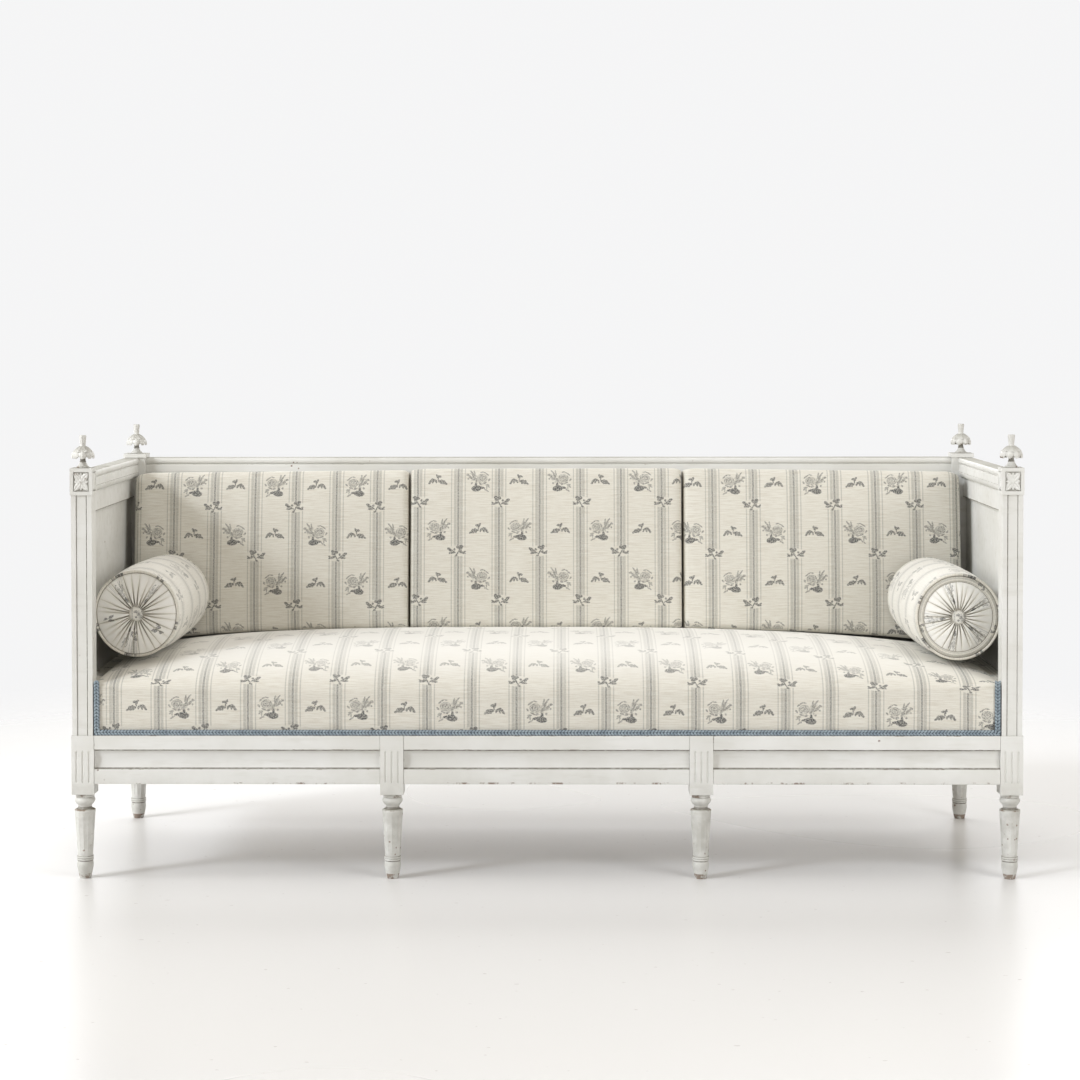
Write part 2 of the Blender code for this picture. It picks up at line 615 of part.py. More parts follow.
def webbing():
    """Straps each way over the seat frame, woven into one layer and held on the rails."""
    low, high = RAIL_TOP + CLEARANCE, RAIL_TOP + CLEARANCE + WEB_THICKNESS

    def stops(first, last, count, start, end):
        pitch = (last - first - WEB_WIDTH) / (count - 1)
        edges = [start]
        for i in range(count):
            edges += [first + i * pitch, first + i * pitch + WEB_WIDTH]
        return edges + [end]

    reach_x = HALF - RAIL_REVEAL - RAIL_THICKNESS + WEB_HOLD
    inner_x = POST_INSIDE - WEB_MARGIN
    xs = stops(-inner_x, inner_x, WEB_CROSS_STRAPS, -reach_x, reach_x)
    front, back = FRONT + RAIL_REVEAL + RAIL_THICKNESS - WEB_HOLD, BACK_RAIL_FRONT + WEB_HOLD
    ys = stops(FRONT + POST_WIDTH + WEB_MARGIN, REAR_POST_FRONT - WEB_MARGIN, WEB_LONG_STRAPS, front, back)
    return slab("seat_webbing", xs, ys, lambda i, j: i % 2 or j % 2, low, lambda x, y: high, JUTE)


# Upholstery

def seat_top(x, y):
    """Height of the seat's fabric: a roll at the front, a crown, and a fall to the ends and the back."""
    crown_y = SEAT_FRONT + SEAT_CROWN_SETBACK
    if y < crown_y:
        near = 1 - (y - SEAT_FRONT) / SEAT_CROWN_SETBACK
        swell = SEAT_CROWN * max(0.0, 1 - near ** SEAT_ROLL) ** (1 / SEAT_ROLL)
    else:
        swell = SEAT_CROWN - SEAT_BACK_FALL * ((y - crown_y) / (SEAT_BACK - crown_y)) ** 2
    return SEAT_EDGE + swell * math.sqrt(max(0.0, 1 - (abs(x) / SEAT_HALF) ** SEAT_END_ROLL))


def seat():
    """The stuffed seat, from arm panel to arm panel, notched round the posts."""
    reach = PANEL_INSIDE - CLEARANCE
    notch_front, notch_back = FRONT + POST_WIDTH + CLEARANCE, REAR_POST_FRONT - CLEARANCE
    turns = [math.pi / 2 * (2 * i / SEAT_STATIONS - 1) for i in range(SEAT_STATIONS + 1)]
    xs = [-reach, *(SEAT_HALF * math.sin(turn) for turn in turns), reach]
    turns = [math.pi / 2 * j / SEAT_STEPS for j in range(SEAT_STEPS + 1)]
    ys = sorted([SEAT_FRONT + (SEAT_BACK - SEAT_FRONT) * (1 - math.cos(turn)) for turn in turns]
                + [notch_front, notch_back])

    def kept(i, j):
        between_posts = 0 < i < len(xs) - 2
        return between_posts or (ys[j] >= notch_front and ys[j + 1] <= notch_back)

    return slab("seat_upholstery", xs, ys, kept, SEAT_BOTTOM, seat_top, FABRIC, smooth=True)


def braid():
    """The braid along the seat's lower front edge and up beside both posts."""
    low, top, wide = RAIL_TOP + CLEARANCE, RAIL_TOP + BRAID_RISE, BRAID_WIDTH
    half = SEAT_HALF
    outline = [(-half, low), (half, low), (half, top), (half - wide, top), (half - wide, low + wide),
               (wide - half, low + wide), (wide - half, top), (-half, top)]
    back = SEAT_FRONT - CLEARANCE
    return make("seat_braid", along_y(outline, back - BRAID_THICKNESS, back), BRAID)


def cushion_section(height, thick, inset, bulge):
    """A rounded outline from the top back corner, as (backwards, upwards), pulled in by inset."""
    low_a, high_a, low_b, high_b = inset - thick, -inset, inset - height, -inset
    radius = CUSHION_ROUND - inset * 0.6
    points = []
    corners = ((high_a, high_b, 0), (low_a, high_b, 90), (low_a, low_b, 180), (high_a, low_b, 270))
    for corner_a, corner_b, start in corners:
        centre_a = corner_a + (radius if corner_a == low_a else -radius)
        centre_b = corner_b + (radius if corner_b == low_b else -radius)
        for i in range(CUSHION_ARC_STEPS + 1):
            angle = math.radians(start + 90 * i / CUSHION_ARC_STEPS)
            points.append((centre_a + radius * math.cos(angle), centre_b + radius * math.sin(angle)))
        if start in (90, 270):
            way = 1 if start == 90 else -1
            for i in range(1, CUSHION_FACE_STEPS):
                share = i / CUSHION_FACE_STEPS
                b = (high_b - radius) + (low_b - high_b + 2 * radius) * (share if way == 1 else 1 - share)
                swell = bulge * (1 - (2 * share - 1) ** 2)
                points.append(((low_a - swell) if way == 1 else high_a, b))
    return points


def back_cushion(name, x0, x1):
    """A firm cushion with a crowned face and drawn-in edges, leaning back and fitted to the seat."""
    rear = BACK_RAIL_FRONT - CUSHION_BACK_GAP
    out = Vector((0, math.cos(CUSHION_LEAN), -math.sin(CUSHION_LEAN)))
    up = Vector((0, math.sin(CUSHION_LEAN), math.cos(CUSHION_LEAN)))
    half, middle = (x1 - x0) / 2, (x0 + x1) / 2
    edge = CUSHION_ROUND
    inner = [(half - edge) * (1 - 2 * i / CUSHION_STATIONS) for i in range(CUSHION_STATIONS)]
    stations = [(half, 0.75), (half - edge * 0.3, 0.3)] + [(at, 0.0) for at in inner]
    stations += [(edge - half, 0.0), (edge * 0.3 - half, 0.3), (-half, 0.75)]
    drop = CUSHION_TOP - SEAT_EDGE - SEAT_CROWN
    foot_y = rear - CUSHION_THICKNESS / 2 - drop * math.sin(CUSHION_LEAN)
    rings = []
    for at, pulled in stations:
        x = middle + at
        floor = seat_top(x, foot_y) + CLEARANCE
        height = (CUSHION_TOP - floor) / math.cos(CUSHION_LEAN)
        bulge = CUSHION_CROWN * (1 - (at / half) ** 2)
        corner = Vector((x, rear, CUSHION_TOP))
        section = cushion_section(height, CUSHION_THICKNESS, CUSHION_ROUND * pulled, bulge)
        rings.append([corner + out * a + up * b for a, b in section])
    return make(name, rings, FABRIC, smooth=True)


def bolster(side, way, far_end):
    """A round bolster with piped rims and pleated ends that dip to a button."""
    x = way * (PANEL_INSIDE - BOLSTER_SIDE_GAP - BOLSTER_RADIUS)
    near_end = FRONT + BOLSTER_SETBACK
    rim, pipe, deep = BOLSTER_RIM_RADIUS, BOLSTER_PIPING, BOLSTER_PLEAT_DEPTH
    end = [(BUTTON_RADIUS * 0.5, -BUTTON_SINK, 0), (BUTTON_RADIUS, -BUTTON_SINK, 0),
           (BUTTON_RADIUS * 1.3, 0, 0.6), (rim * 0.5, BOLSTER_END_BULGE * 0.85, 1),
           (rim * 0.72, BOLSTER_END_BULGE, 0.7), (rim * 0.92, BOLSTER_END_BULGE * 0.5, 0.2),
           (rim - pipe, 0, 0), (rim, pipe, 0), (rim + pipe, 0, 0), (rim + pipe * 0.5, -pipe, 0)]
    length = far_end - near_end
    body = [(rim + (BOLSTER_RADIUS - rim) * math.sin(math.pi * share) ** 0.5, share)
            for share in (0.1, 0.3, 0.5, 0.7, 0.9)]
    sides = 2 * BOLSTER_PLEATS

    def ring(radius, y, pleat, outward):
        points = []
        for i in range(sides):
            turn = 2 * math.pi * i / sides
            fold = deep * pleat * (1 if i % 2 else -1) * outward
            points.append((x + radius * math.cos(turn), y + fold, radius * math.sin(turn)))
        return points

    rings = [ring(radius, near_end - out, pleat, -1) for radius, out, pleat in end]
    rings += [ring(radius, near_end + length * share, 0, 1) for radius, share in body]
    rings += [ring(radius, far_end + out, pleat, 1) for radius, out, pleat in reversed(end)]
    return make("bolster_" + side, rings, FABRIC, smooth=True)


def button(name, x, y, z, outward):
    """A domed covered button standing in the dimple of a bolster's end."""
    rings = []
    for share, rise in ((0.85, 0.0), (1.0, 0.35), (0.8, 0.8), (0.4, 1.0)):
        height = y + outward * (CLEARANCE + BUTTON_THICKNESS * rise)
        rings.append([(x + u * share, height, z + v * share) for u, v in disc(BUTTON_RADIUS)])
    return make(name, rings, FABRIC, smooth=True)


def edge_points(piece):
    """Points along every edge of a piece, close enough to find where it touches another."""
    vertices = piece.data.vertices
    for edge in piece.data.edges:
        start, stop = (vertices[i].co for i in edge.vertices)
        for i in range(5):
            yield start.lerp(stop, i / 4)


def tree(piece):
    points = [vertex.co for vertex in piece.data.vertices]
    return BVHTree.FromPolygons(points, [face.vertices for face in piece.data.polygons])


def settle(piece, support):
    """Set a piece down on its support, with the clearance left between them, and return how far it rose."""
    start = 1.0
    piece.data.transform(Matrix.Translation(start * UP))
    below, above = tree(support), tree(piece)
    gap = start * 2
    for point in edge_points(piece):
        hit = below.ray_cast(point, -UP)
        if hit[0]:
            gap = min(gap, hit[3])
    for point in edge_points(support):
        hit = above.ray_cast(point, UP)
        if hit[0]:
            gap = min(gap, hit[3])
    drop = gap - CLEARANCE
    piece.data.transform(Matrix.Translation(-drop * UP))
    return start - drop


# The frame

posts = {}
arm_rails = {}
side_rails = {}
back_rail = back_piece("back_rail", moulded_outline())
rear_rail = back_piece("rear_rail", grooved_outline())
for side, way in SIDES.items():
    posts["front", side] = front_post(side, way)
    posts["rear", side] = rear_post(side, way)
    arm_rails[side] = side_piece("arm_rail_" + side, way, moulded_outline())
    side_rails[side] = side_piece("side_rail_" + side, way, grooved_outline())
    rosettes(side, way)
    rear_cap(side, way)

stiles = {side: front_stile(side, way) for side, way in SIDES.items()}
braces = {side: brace(side, way) for side, way in SIDES.items()}
rail_ends = [-POST_INSIDE, -INNER_LEG_X - STILE_WIDTH / 2, -INNER_LEG_X + STILE_WIDTH / 2,
             INNER_LEG_X - STILE_WIDTH / 2, INNER_LEG_X + STILE_WIDTH / 2, POST_INSIDE]
front_rails = {}
for i, place in enumerate(PLACES):
    front_rails[place] = front_rail("front_rail_" + place, rail_ends[2 * i], rail_ends[2 * i + 1])

# Tenons of the seat rails and of the arm and back rails
seat_heights = (RAIL_BOTTOM + TENON_SHOULDER, RAIL_TOP - TENON_SHOULDER)
arm_heights = (ARM_BOTTOM + TENON_SHOULDER + CLEARANCE, POST_TOP - PEG_LENGTH - TENON_SHOULDER)
front_section = {1: span(FRONT + RAIL_REVEAL + RAIL_THICKNESS * 0.55, TENON_THICKNESS), 2: seat_heights}
carriers = [posts["front", "left"], stiles["left"], stiles["left"], stiles["right"], stiles["right"],
            posts["front", "right"]]
for i, (face, carrier) in enumerate(zip(rail_ends, carriers)):
    rail = front_rails[PLACES[i // 2]]
    tenon(rail, carrier, 0, 1 if i % 2 else -1, face, front_section)
for side, way in SIDES.items():
    members = ((side_rails[side], rear_rail, RAIL_THICKNESS / 2, seat_heights),
               (arm_rails[side], back_rail, FRIEZE_THICKNESS / 2, arm_heights))
    for side_member, back_member, inward, heights in members:
        across = span(way * (HALF - RAIL_REVEAL - inward), TENON_THICKNESS)
        tenon(side_member, posts["front", side], 1, -1, FRONT + POST_WIDTH, {0: across, 2: heights})
        tenon(side_member, posts["rear", side], 1, 1, REAR_POST_FRONT, {0: across, 2: heights})
        across = span(BACK - RAIL_REVEAL - inward, TENON_THICKNESS)
        tenon(back_member, posts["rear", side], 0, way, way * POST_INSIDE, {1: across, 2: heights})
    section = {0: span(way * INNER_LEG_X, TENON_THICKNESS),
               2: (BRACE_BOTTOM + TENON_SHOULDER, BRACE_TOP - TENON_SHOULDER)}
    tenon(braces[side], stiles[side], 1, -1, FRONT + POST_WIDTH, section)
    tenon(braces[side], rear_rail, 1, 1, BACK_RAIL_FRONT, section)

# Panels in their grooves
low, high = panel_heights()
grooves = (low - CLEARANCE, high + CLEARANCE)
for side, way in SIDES.items():
    arm_panel(side, way)
    back_stile(side, way)
    x0, x1 = sorted((way * (PANEL_INSIDE - CLEARANCE), way * (PANEL_INSIDE + PANEL_THICKNESS + CLEARANCE)))
    deep = GROOVE_DEPTH + CLEARANCE
    rear_face, front_face = FRONT + POST_WIDTH, REAR_POST_FRONT
    cut_box(posts["front", side], (x0, rear_face - deep, grooves[0]), (x1, rear_face + ROOT, grooves[1]))
    cut_box(posts["rear", side], (x0, front_face - ROOT, grooves[0]), (x1, front_face + deep, grooves[1]))
    x0, x1 = sorted((way * (POST_INSIDE - ROOT), way * (POST_INSIDE + deep)))
    near, far = BACK_PANEL_FRONT - CLEARANCE, BACK_PANEL_FRONT + PANEL_THICKNESS + CLEARANCE
    cut_box(posts["rear", side], (x0, near, grooves[0]), (x1, far, grooves[1]))
panel_edge = INNER_LEG_X + BACK_STILE_WIDTH / 2
panel_inner = INNER_LEG_X - BACK_STILE_WIDTH / 2
back_panel("back_panel_left", -POST_INSIDE, -panel_edge)
back_panel("back_panel_centre", -panel_inner, panel_inner)
back_panel("back_panel_right", panel_edge, POST_INSIDE)

# Legs and finials in their holes
dowel_top = LEG_HEIGHT + LEG_DOWEL_LENGTH + CLEARANCE
for side, way in SIDES.items():
    for row, y in (("front", FRONT_LEG_Y), ("rear", REAR_LEG_Y)):
        leg(f"{row}_leg_{side}", way * LEG_X, y)
        finial(f"{row}_finial_{side}", way * LEG_X, y)
        post = posts[row, side]
        drill(post, way * LEG_X, y, LEG_HEIGHT - ROOT, dowel_top, LEG_DOWEL_RADIUS)
        drill(post, way * LEG_X, y, POST_TOP - PEG_LENGTH - CLEARANCE, POST_TOP + ROOT, PEG_RADIUS)
    leg(f"inner_leg_{side}", way * INNER_LEG_X, FRONT_LEG_Y)
    drill(stiles[side], way * INNER_LEG_X, FRONT_LEG_Y, LEG_HEIGHT - ROOT, dowel_top, LEG_DOWEL_RADIUS)

# The soft pieces
webbing()
seat_cushion = seat()
braid()
reach = POST_INSIDE - CUSHION_SIDE_GAP
wide = (2 * reach - (len(PLACES) - 1) * CUSHION_GAP) / len(PLACES)
for i, place in enumerate(PLACES):
    x0 = -reach + i * (wide + CUSHION_GAP)
    settle(back_cushion("back_cushion_" + place, x0, x0 + wide), seat_cushion)
cushion_front = min(point.co.y for point in bpy.data.objects["back_cushion_left"].data.vertices)
far_end = cushion_front - BOLSTER_BACK_GAP - BOLSTER_END_BULGE - BOLSTER_PLEAT_DEPTH
for side, way in SIDES.items():
    roll = bolster(side, way, far_end)
    rise = settle(roll, seat_cushion)
    x = way * (PANEL_INSIDE - BOLSTER_SIDE_GAP - BOLSTER_RADIUS)
    button(f"bolster_button_front_{side}", x, FRONT + BOLSTER_SETBACK + BUTTON_SINK, rise, -1)
    button(f"bolster_button_rear_{side}", x, far_end - BUTTON_SINK, rise, 1)
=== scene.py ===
import math
import random
from contextlib import contextmanager

import bmesh
import bpy
import numpy as np
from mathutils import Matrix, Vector, noise
from mathutils.bvhtree import BVHTree


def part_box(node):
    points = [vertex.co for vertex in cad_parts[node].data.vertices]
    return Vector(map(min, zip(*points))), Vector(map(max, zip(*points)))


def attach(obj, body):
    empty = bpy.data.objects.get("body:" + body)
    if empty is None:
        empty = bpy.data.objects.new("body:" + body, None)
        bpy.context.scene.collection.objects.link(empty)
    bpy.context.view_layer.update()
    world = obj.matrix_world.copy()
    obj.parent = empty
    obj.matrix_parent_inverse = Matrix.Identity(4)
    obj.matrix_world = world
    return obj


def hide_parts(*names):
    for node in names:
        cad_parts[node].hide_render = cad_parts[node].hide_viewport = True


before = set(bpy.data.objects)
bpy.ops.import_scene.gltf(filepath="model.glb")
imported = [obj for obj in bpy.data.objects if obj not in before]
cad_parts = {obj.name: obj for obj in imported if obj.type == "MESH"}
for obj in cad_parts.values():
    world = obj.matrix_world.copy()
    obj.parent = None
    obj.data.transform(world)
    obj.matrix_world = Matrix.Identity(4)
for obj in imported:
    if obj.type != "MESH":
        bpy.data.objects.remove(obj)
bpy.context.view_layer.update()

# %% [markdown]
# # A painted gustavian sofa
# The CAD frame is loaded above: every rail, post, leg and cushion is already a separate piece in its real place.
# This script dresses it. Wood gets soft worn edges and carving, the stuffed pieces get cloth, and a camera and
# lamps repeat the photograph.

post_low, post_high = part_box("front_post_right")
rear_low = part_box("rear_post_right")[0]
rail_low, rail_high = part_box("front_rail_centre")
seat_low, seat_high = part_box("seat_upholstery")
braid_low, braid_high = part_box("seat_braid")
POST_INSIDE = post_low.x
SIDES = (("left", -1), ("right", 1))
PLACES = ("left", "centre", "right")
print("posts' inside", round(POST_INSIDE, 4), "top of the rail", round(rail_high.z, 4))

# %% [markdown]
# ## Small helpers
# A finished piece is a plain mesh object at the origin, so its vertices are where the piece really is. `piece`
# makes one from points and faces. Most shapes here are points in rings or in a grid, so `tube` and `shell` count
# out the faces for those two cases. `seated` gives a piece its material, hangs it on the empty of the body it
# moves with, and hides the CAD piece it stands in for.

# %% Helpers for pieces

def placed(name, data):
    made = bpy.data.objects.new(name, data)
    bpy.context.scene.collection.objects.link(made)
    return made


def piece(name, points, faces, smooth=True):
    mesh = bpy.data.meshes.new(name)
    mesh.from_pydata([tuple(p) for p in points], [], [tuple(f) for f in faces])
    mesh.update()
    if smooth:
        mesh.shade_smooth()
    return placed(name, mesh)


@contextmanager
def reshaped(mesh, source=None):
    """A mesh opened for editing and written back afterwards; it can start as a copy of another mesh."""
    shape = bmesh.new()
    shape.from_mesh(source or mesh)
    yield shape
    shape.to_mesh(mesh)
    shape.free()


def outward(made):
    """Turn every face of a closed piece outwards."""
    with reshaped(made.data) as shape:
        bmesh.ops.recalc_face_normals(shape, faces=shape.faces)


def settled(made):
    """Replace an object's mesh by what its modifiers make of it."""
    graph = bpy.context.evaluated_depsgraph_get()
    mesh = bpy.data.meshes.new_from_object(made.evaluated_get(graph))
    made.modifiers.clear()
    made.data = mesh
    return made


def tube(rings, around):
    """Faces of a solid whose points lie in rings, with a flat face at each end."""
    faces = []
    for k in range(rings - 1):
        a, b = k * around, (k + 1) * around
        for i in range(around):
            j = (i + 1) % around
            faces.append((a + i, a + j, b + j, b + i))
    last = (rings - 1) * around
    return faces + [tuple(range(around)), tuple(range(last, last + around))]


def shell(rows, columns):
    """Faces of a thin solid: two grids of points, one behind the other, and the rim between them."""
    wide = columns + 1
    count = wide * (rows + 1)
    faces = []
    for j in range(rows):
        for i in range(columns):
            a = j * wide + i
            faces.append((a, a + wide, a + wide + 1, a + 1))
            faces.append((count + a, count + a + 1, count + a + wide + 1, count + a + wide))
    rim = list(range(columns)) + [j * wide + columns for j in range(rows)]
    rim += [rows * wide + i for i in range(columns, 0, -1)] + [j * wide for j in range(rows, 0, -1)]
    return faces + [(a, b, count + b, count + a) for a, b in zip(rim, rim[1:] + rim[:1])]


def numbered(made, name, values, domain="POINT"):
    """Give each point or face of a piece a number that its finish can read."""
    made.data.attributes.new(name, "FLOAT", domain).data.foreach_set("value", values)


def laid_out(made, flat):
    """A UV map in metres, from the place of each point on the flat cloth."""
    layer = made.data.uv_layers.new(name="cloth")
    for corner in made.data.loops:
        layer.data[corner.index].uv = flat[corner.vertex_index]


def seated(made, body, node, look):
    made.data.materials.clear()
    made.data.materials.append(look)
    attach(made, body)
    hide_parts(node)
    return made


# %% [markdown]
# ## Helpers for materials
# Every finish here is a network of shader nodes, without pictures. A few short functions make the networks
# readable: `add` makes a node, `maths` and `vectors` make calculations, and each returns what it can be linked to.
# The same functions also build the Geometry Nodes further down, because both kinds of network work alike.

# %% Helpers for materials

def material(name):
    made = bpy.data.materials.new(name)
    made.use_nodes = True
    return made, made.node_tree, made.node_tree.nodes["Principled BSDF"]


def feed(tree, node, inputs):
    """Link or set inputs of a node."""
    for key, value in inputs.items():
        if isinstance(value, bpy.types.NodeSocket):
            tree.links.new(value, node.inputs[key])
        else:
            node.inputs[key].default_value = value


def add(tree, kind, inputs=None, **settings):
    made = tree.nodes.new(kind)
    for key, value in settings.items():
        setattr(made, key, value)
    feed(tree, made, inputs or {})
    return made


def position(tree):
    return add(tree, "ShaderNodeTexCoord").outputs["Object"]


def attribute(tree, name):
    return add(tree, "ShaderNodeAttribute", attribute_name=name).outputs["Fac"]


def maths(tree, operation, *values):
    return add(tree, "ShaderNodeMath", dict(enumerate(values)), operation=operation).outputs[0]


def vectors(tree, operation, *values):
    made = add(tree, "ShaderNodeVectorMath", dict(enumerate(values)), operation=operation)
    return made.outputs["Value" if operation == "LENGTH" else "Vector"]


def remap(tree, value, a, b, c=0.0, d=1.0):
    """value from a..b to c..d, eased at both ends."""
    inputs = {"Value": value, "From Min": a, "From Max": b, "To Min": c, "To Max": d}
    return add(tree, "ShaderNodeMapRange", inputs, interpolation_type="SMOOTHSTEP").outputs["Result"]


def blend(tree, share, a, b):
    return add(tree, "ShaderNodeMix", {0: share, 6: a, 7: b}, data_type="RGBA").outputs[2]


def speckle(tree, where, scale, detail=2.0, roughness=0.5, stretch=None):
    if stretch:
        where = vectors(tree, "MULTIPLY", where, stretch)
    inputs = {"Vector": where, "Scale": scale, "Detail": detail, "Roughness": roughness}
    return add(tree, "ShaderNodeTexNoise", inputs).outputs["Fac"]


def bump(tree, height, strength, distance):
    inputs = {"Height": height, "Strength": strength, "Distance": distance}
    return add(tree, "ShaderNodeBump", inputs).outputs["Normal"]


# %% [markdown]
# ## Old white paint
# The wood is painted an off-white that has yellowed unevenly. Dust and painted shade make the tops of the rails grey
# and matt, shoes have scuffed the legs, and small round chips show the wood low down. Paint wears through on sharp
# edges, and dirt and painted shade darken the corners and grooves. Each piece carries a number on every face, called
# `edge`: 1 on the rounded strip along an outside edge, -1 in an inside corner, about 0 elsewhere. The shader reads
# it, and noise breaks it up, so wear falls where hands and shoes really reach.

# %% Paint
WHITE, YELLOWED, STREAKED = (0.795, 0.798, 0.780, 1), (0.72, 0.718, 0.685, 1), (0.55, 0.54, 0.48, 1)
DUST_AND_SHADE_GREY, SCUFFED, GRIME_AND_SHADE = (0.42, 0.415, 0.375, 1), (0.45, 0.445, 0.41, 1), (0.115, 0.098, 0.07, 1)
RUBBED, CHIPPED = (0.20, 0.14, 0.10, 1), (0.17, 0.085, 0.055, 1)

paint, tree, shader = material("painted_wood")
where = position(tree)
height = add(tree, "ShaderNodeSeparateXYZ", {0: where}).outputs["Z"]
facing = add(tree, "ShaderNodeNewGeometry").outputs["Normal"]
upward = add(tree, "ShaderNodeSeparateXYZ", {0: facing}).outputs["Z"]
edge = attribute(tree, "edge")
cloud = speckle(tree, where, 5.0, 4.0, 0.6)
streak = speckle(tree, where, 9.0, 3.0, 0.6, (1.0, 6.0, 6.0))
fine = speckle(tree, where, 130.0, 3.0, 0.65)

# age, brush streaks, dust and painted shade on what faces up, and shoes near the floor
colour = blend(tree, remap(tree, cloud, 0.35, 0.68), WHITE, YELLOWED)
colour = blend(tree, remap(tree, streak, 0.50, 0.78, 0.0, 0.30), colour, STREAKED)
dust_and_top_shade = maths(tree, "MULTIPLY", remap(tree, upward, 0.40, 0.95), remap(tree, cloud, 0.30, 0.70, 0.70, 0.95))
colour = blend(tree, dust_and_top_shade, colour, DUST_AND_SHADE_GREY)
shoes = remap(tree, speckle(tree, where, 26.0, 4.0, 0.65), 0.30, 0.70, 0.25, 0.80)
shoes = maths(tree, "MULTIPLY", shoes, remap(tree, height, 0.235, 0.14))
colour = blend(tree, shoes, colour, SCUFFED)

# dirt and painted shade in corners and grooves, wear on edges, and chips
corner = maths(tree, "MULTIPLY", remap(tree, edge, 0.0, -1.0), remap(tree, fine, 0.30, 0.58, 0.55, 1.0))
colour = blend(tree, maths(tree, "MULTIPLY", corner, 0.92), colour, GRIME_AND_SHADE)
rub = maths(tree, "ADD", speckle(tree, where, 34.0, 5.0, 0.7), remap(tree, height, 0.24, 0.0, 0.0, 0.12))
worn = maths(tree, "MULTIPLY", remap(tree, edge, 0.1, 0.9), remap(tree, rub, 0.54, 0.64))
colour = blend(tree, maths(tree, "MULTIPLY", worn, 0.85), colour, RUBBED)
cells = add(tree, "ShaderNodeTexVoronoi", {"Vector": where, "Scale": 62.0, "Randomness": 1.0})
ragged = maths(tree, "ADD", cells.outputs["Distance"], maths(tree, "MULTIPLY", fine, 0.35))
patch = maths(tree, "ADD", speckle(tree, where, 11.0, 3.0, 0.6), remap(tree, height, 0.21, 0.0, 0.0, 0.19))
spot = maths(tree, "MULTIPLY", remap(tree, ragged, 0.34, 0.26), remap(tree, patch, 0.64, 0.70))
colour = blend(tree, maths(tree, "MULTIPLY", spot, 0.85), colour, CHIPPED)

gloss = remap(tree, streak, 0.3, 0.7, 0.36, 0.56)
grain = maths(tree, "ADD", streak, maths(tree, "MULTIPLY", fine, 0.4))
grain = maths(tree, "SUBTRACT", grain, maths(tree, "MULTIPLY", spot, 0.8))
feed(tree, shader, {"Base Color": colour, "Roughness": maths(tree, "MAXIMUM", gloss, dust_and_top_shade),
                    "Specular IOR Level": remap(tree, dust_and_top_shade, 0.0, 0.6, 0.40, 0.03),
                    "Normal": bump(tree, grain, 0.22, 0.0012)})
print("paint:", len(tree.nodes), "nodes")

# %% [markdown]
# ## Bare wood and jute
# Under the seat are two unpainted braces and a layer of jute straps. Nobody sees them while sitting, but they are
# what carries the stuffing. Pine is a pale brown with long dark streaks, so its noise is stretched along the brace.
# Jute is a coarse weave: two sets of waves, one across the other, multiplied.

# %% Bare wood and jute
pine, tree, shader = material("bare_wood")
rings = speckle(tree, position(tree), 14.0, 4.0, 0.6, (5.0, 0.5, 5.0))
colour = blend(tree, remap(tree, rings, 0.35, 0.7), (0.47, 0.31, 0.165, 1), (0.27, 0.155, 0.07, 1))
feed(tree, shader, {"Base Color": colour, "Roughness": remap(tree, rings, 0.3, 0.7, 0.6, 0.8),
                    "Normal": bump(tree, rings, 0.3, 0.001)})

jute, tree, shader = material("jute")
where = position(tree)
across, along = (add(tree, "ShaderNodeTexWave", {"Vector": where, "Scale": 160.0, "Distortion": 1.5},
                     bands_direction=axis).outputs["Fac"] for axis in "XY")
weave = maths(tree, "MULTIPLY", across, along)
fuzz = speckle(tree, where, 60.0, 4.0, 0.7)
colour = blend(tree, weave, (0.20, 0.135, 0.07, 1), (0.46, 0.34, 0.19, 1))
colour = blend(tree, remap(tree, fuzz, 0.4, 0.7, 0.0, 0.4), colour, (0.56, 0.45, 0.28, 1))
feed(tree, shader, {"Base Color": colour, "Roughness": remap(tree, fuzz, 0.3, 0.7, 0.85, 1.0),
                    "Normal": bump(tree, weave, 0.6, 0.0008)})
print("made", pine.name, "and", jute.name)

# %% [markdown]
# ## The cloth and its pattern
# The cover is a cream linen with woven stripes and small bouquets. The pattern is drawn in a flat space: each soft
# piece has a UV map called `cloth` measured in metres, so a stripe is equally wide on a cushion and on the seat.
# A shader can repeat a drawing by folding its coordinates: wrapping u and v into one small cell gives the same
# drawing in every cell. The drawings are made of ellipses, because a distance to an ellipse is one subtraction,
# one division and one length. Every second row is mirrored, as a weaver's card would do. Two numbers on the points
# change the cloth: the first pales the ground and thins the ink, as fading and a painted highlight, and the second
# paints shade into a pleat or, below 0, a painted highlight on the ridges between pleats.

# %% Drawings of the pattern
MM = 0.001
PITCH = 0.0920
ROW = 0.1110
SPRIG_DROP = 0.435 * ROW
# how dark the stripe is, at distances in mm from its middle
STRIPE = ((0.0, 0.95), (1.8, 0.95), (2.7, 0.22), (3.6, 0.22), (4.6, 0.52), (9.2, 0.52), (10.5, 0.0), (13.6, 0.0),
          (14.7, 0.52), (16.0, 0.52), (17.0, 0.0))
# ellipses in mm and degrees: x, y, half width, half height, turn
ROSE = ((-8, 6, 11.5, 9.3, 8),)
SPRAY = ((14.5, 17, 8.5, 1.8, 57), (20, 10, 7, 1.8, 35), (9.5, 17, 8, 1.8, 80), (25, 13.5, 3.6, 2.4, -20),
         (15.5, 4.5, 8, 1.8, 28), (11.5, 9, 9, 2.3, 64), (5.8, 1, 5.4, 2.6, 75), (18, 22, 5, 1.5, 48),
         (24, 4.5, 2.0, 2.0, 0), (15.3, -6, 2.4, 2.4, 0), (-23.5, 1.5, 3.8, 2.0, -50), (-19, 14.5, 5, 1.6, 38),
         (-7.5, 19.5, 4.4, 1.5, -10), (-14.5, 18, 3.8, 1.4, 25), (-13, -5.5, 5.4, 2.0, -22), (-4, -7, 3.8, 2.6, 30))
BOWL = ((5, -17.8, 11.6, 6.8, -6), (-6.5, -15.8, 7.4, 2.6, 10), (6.4, -9.5, 2.8, 5.4, 0))
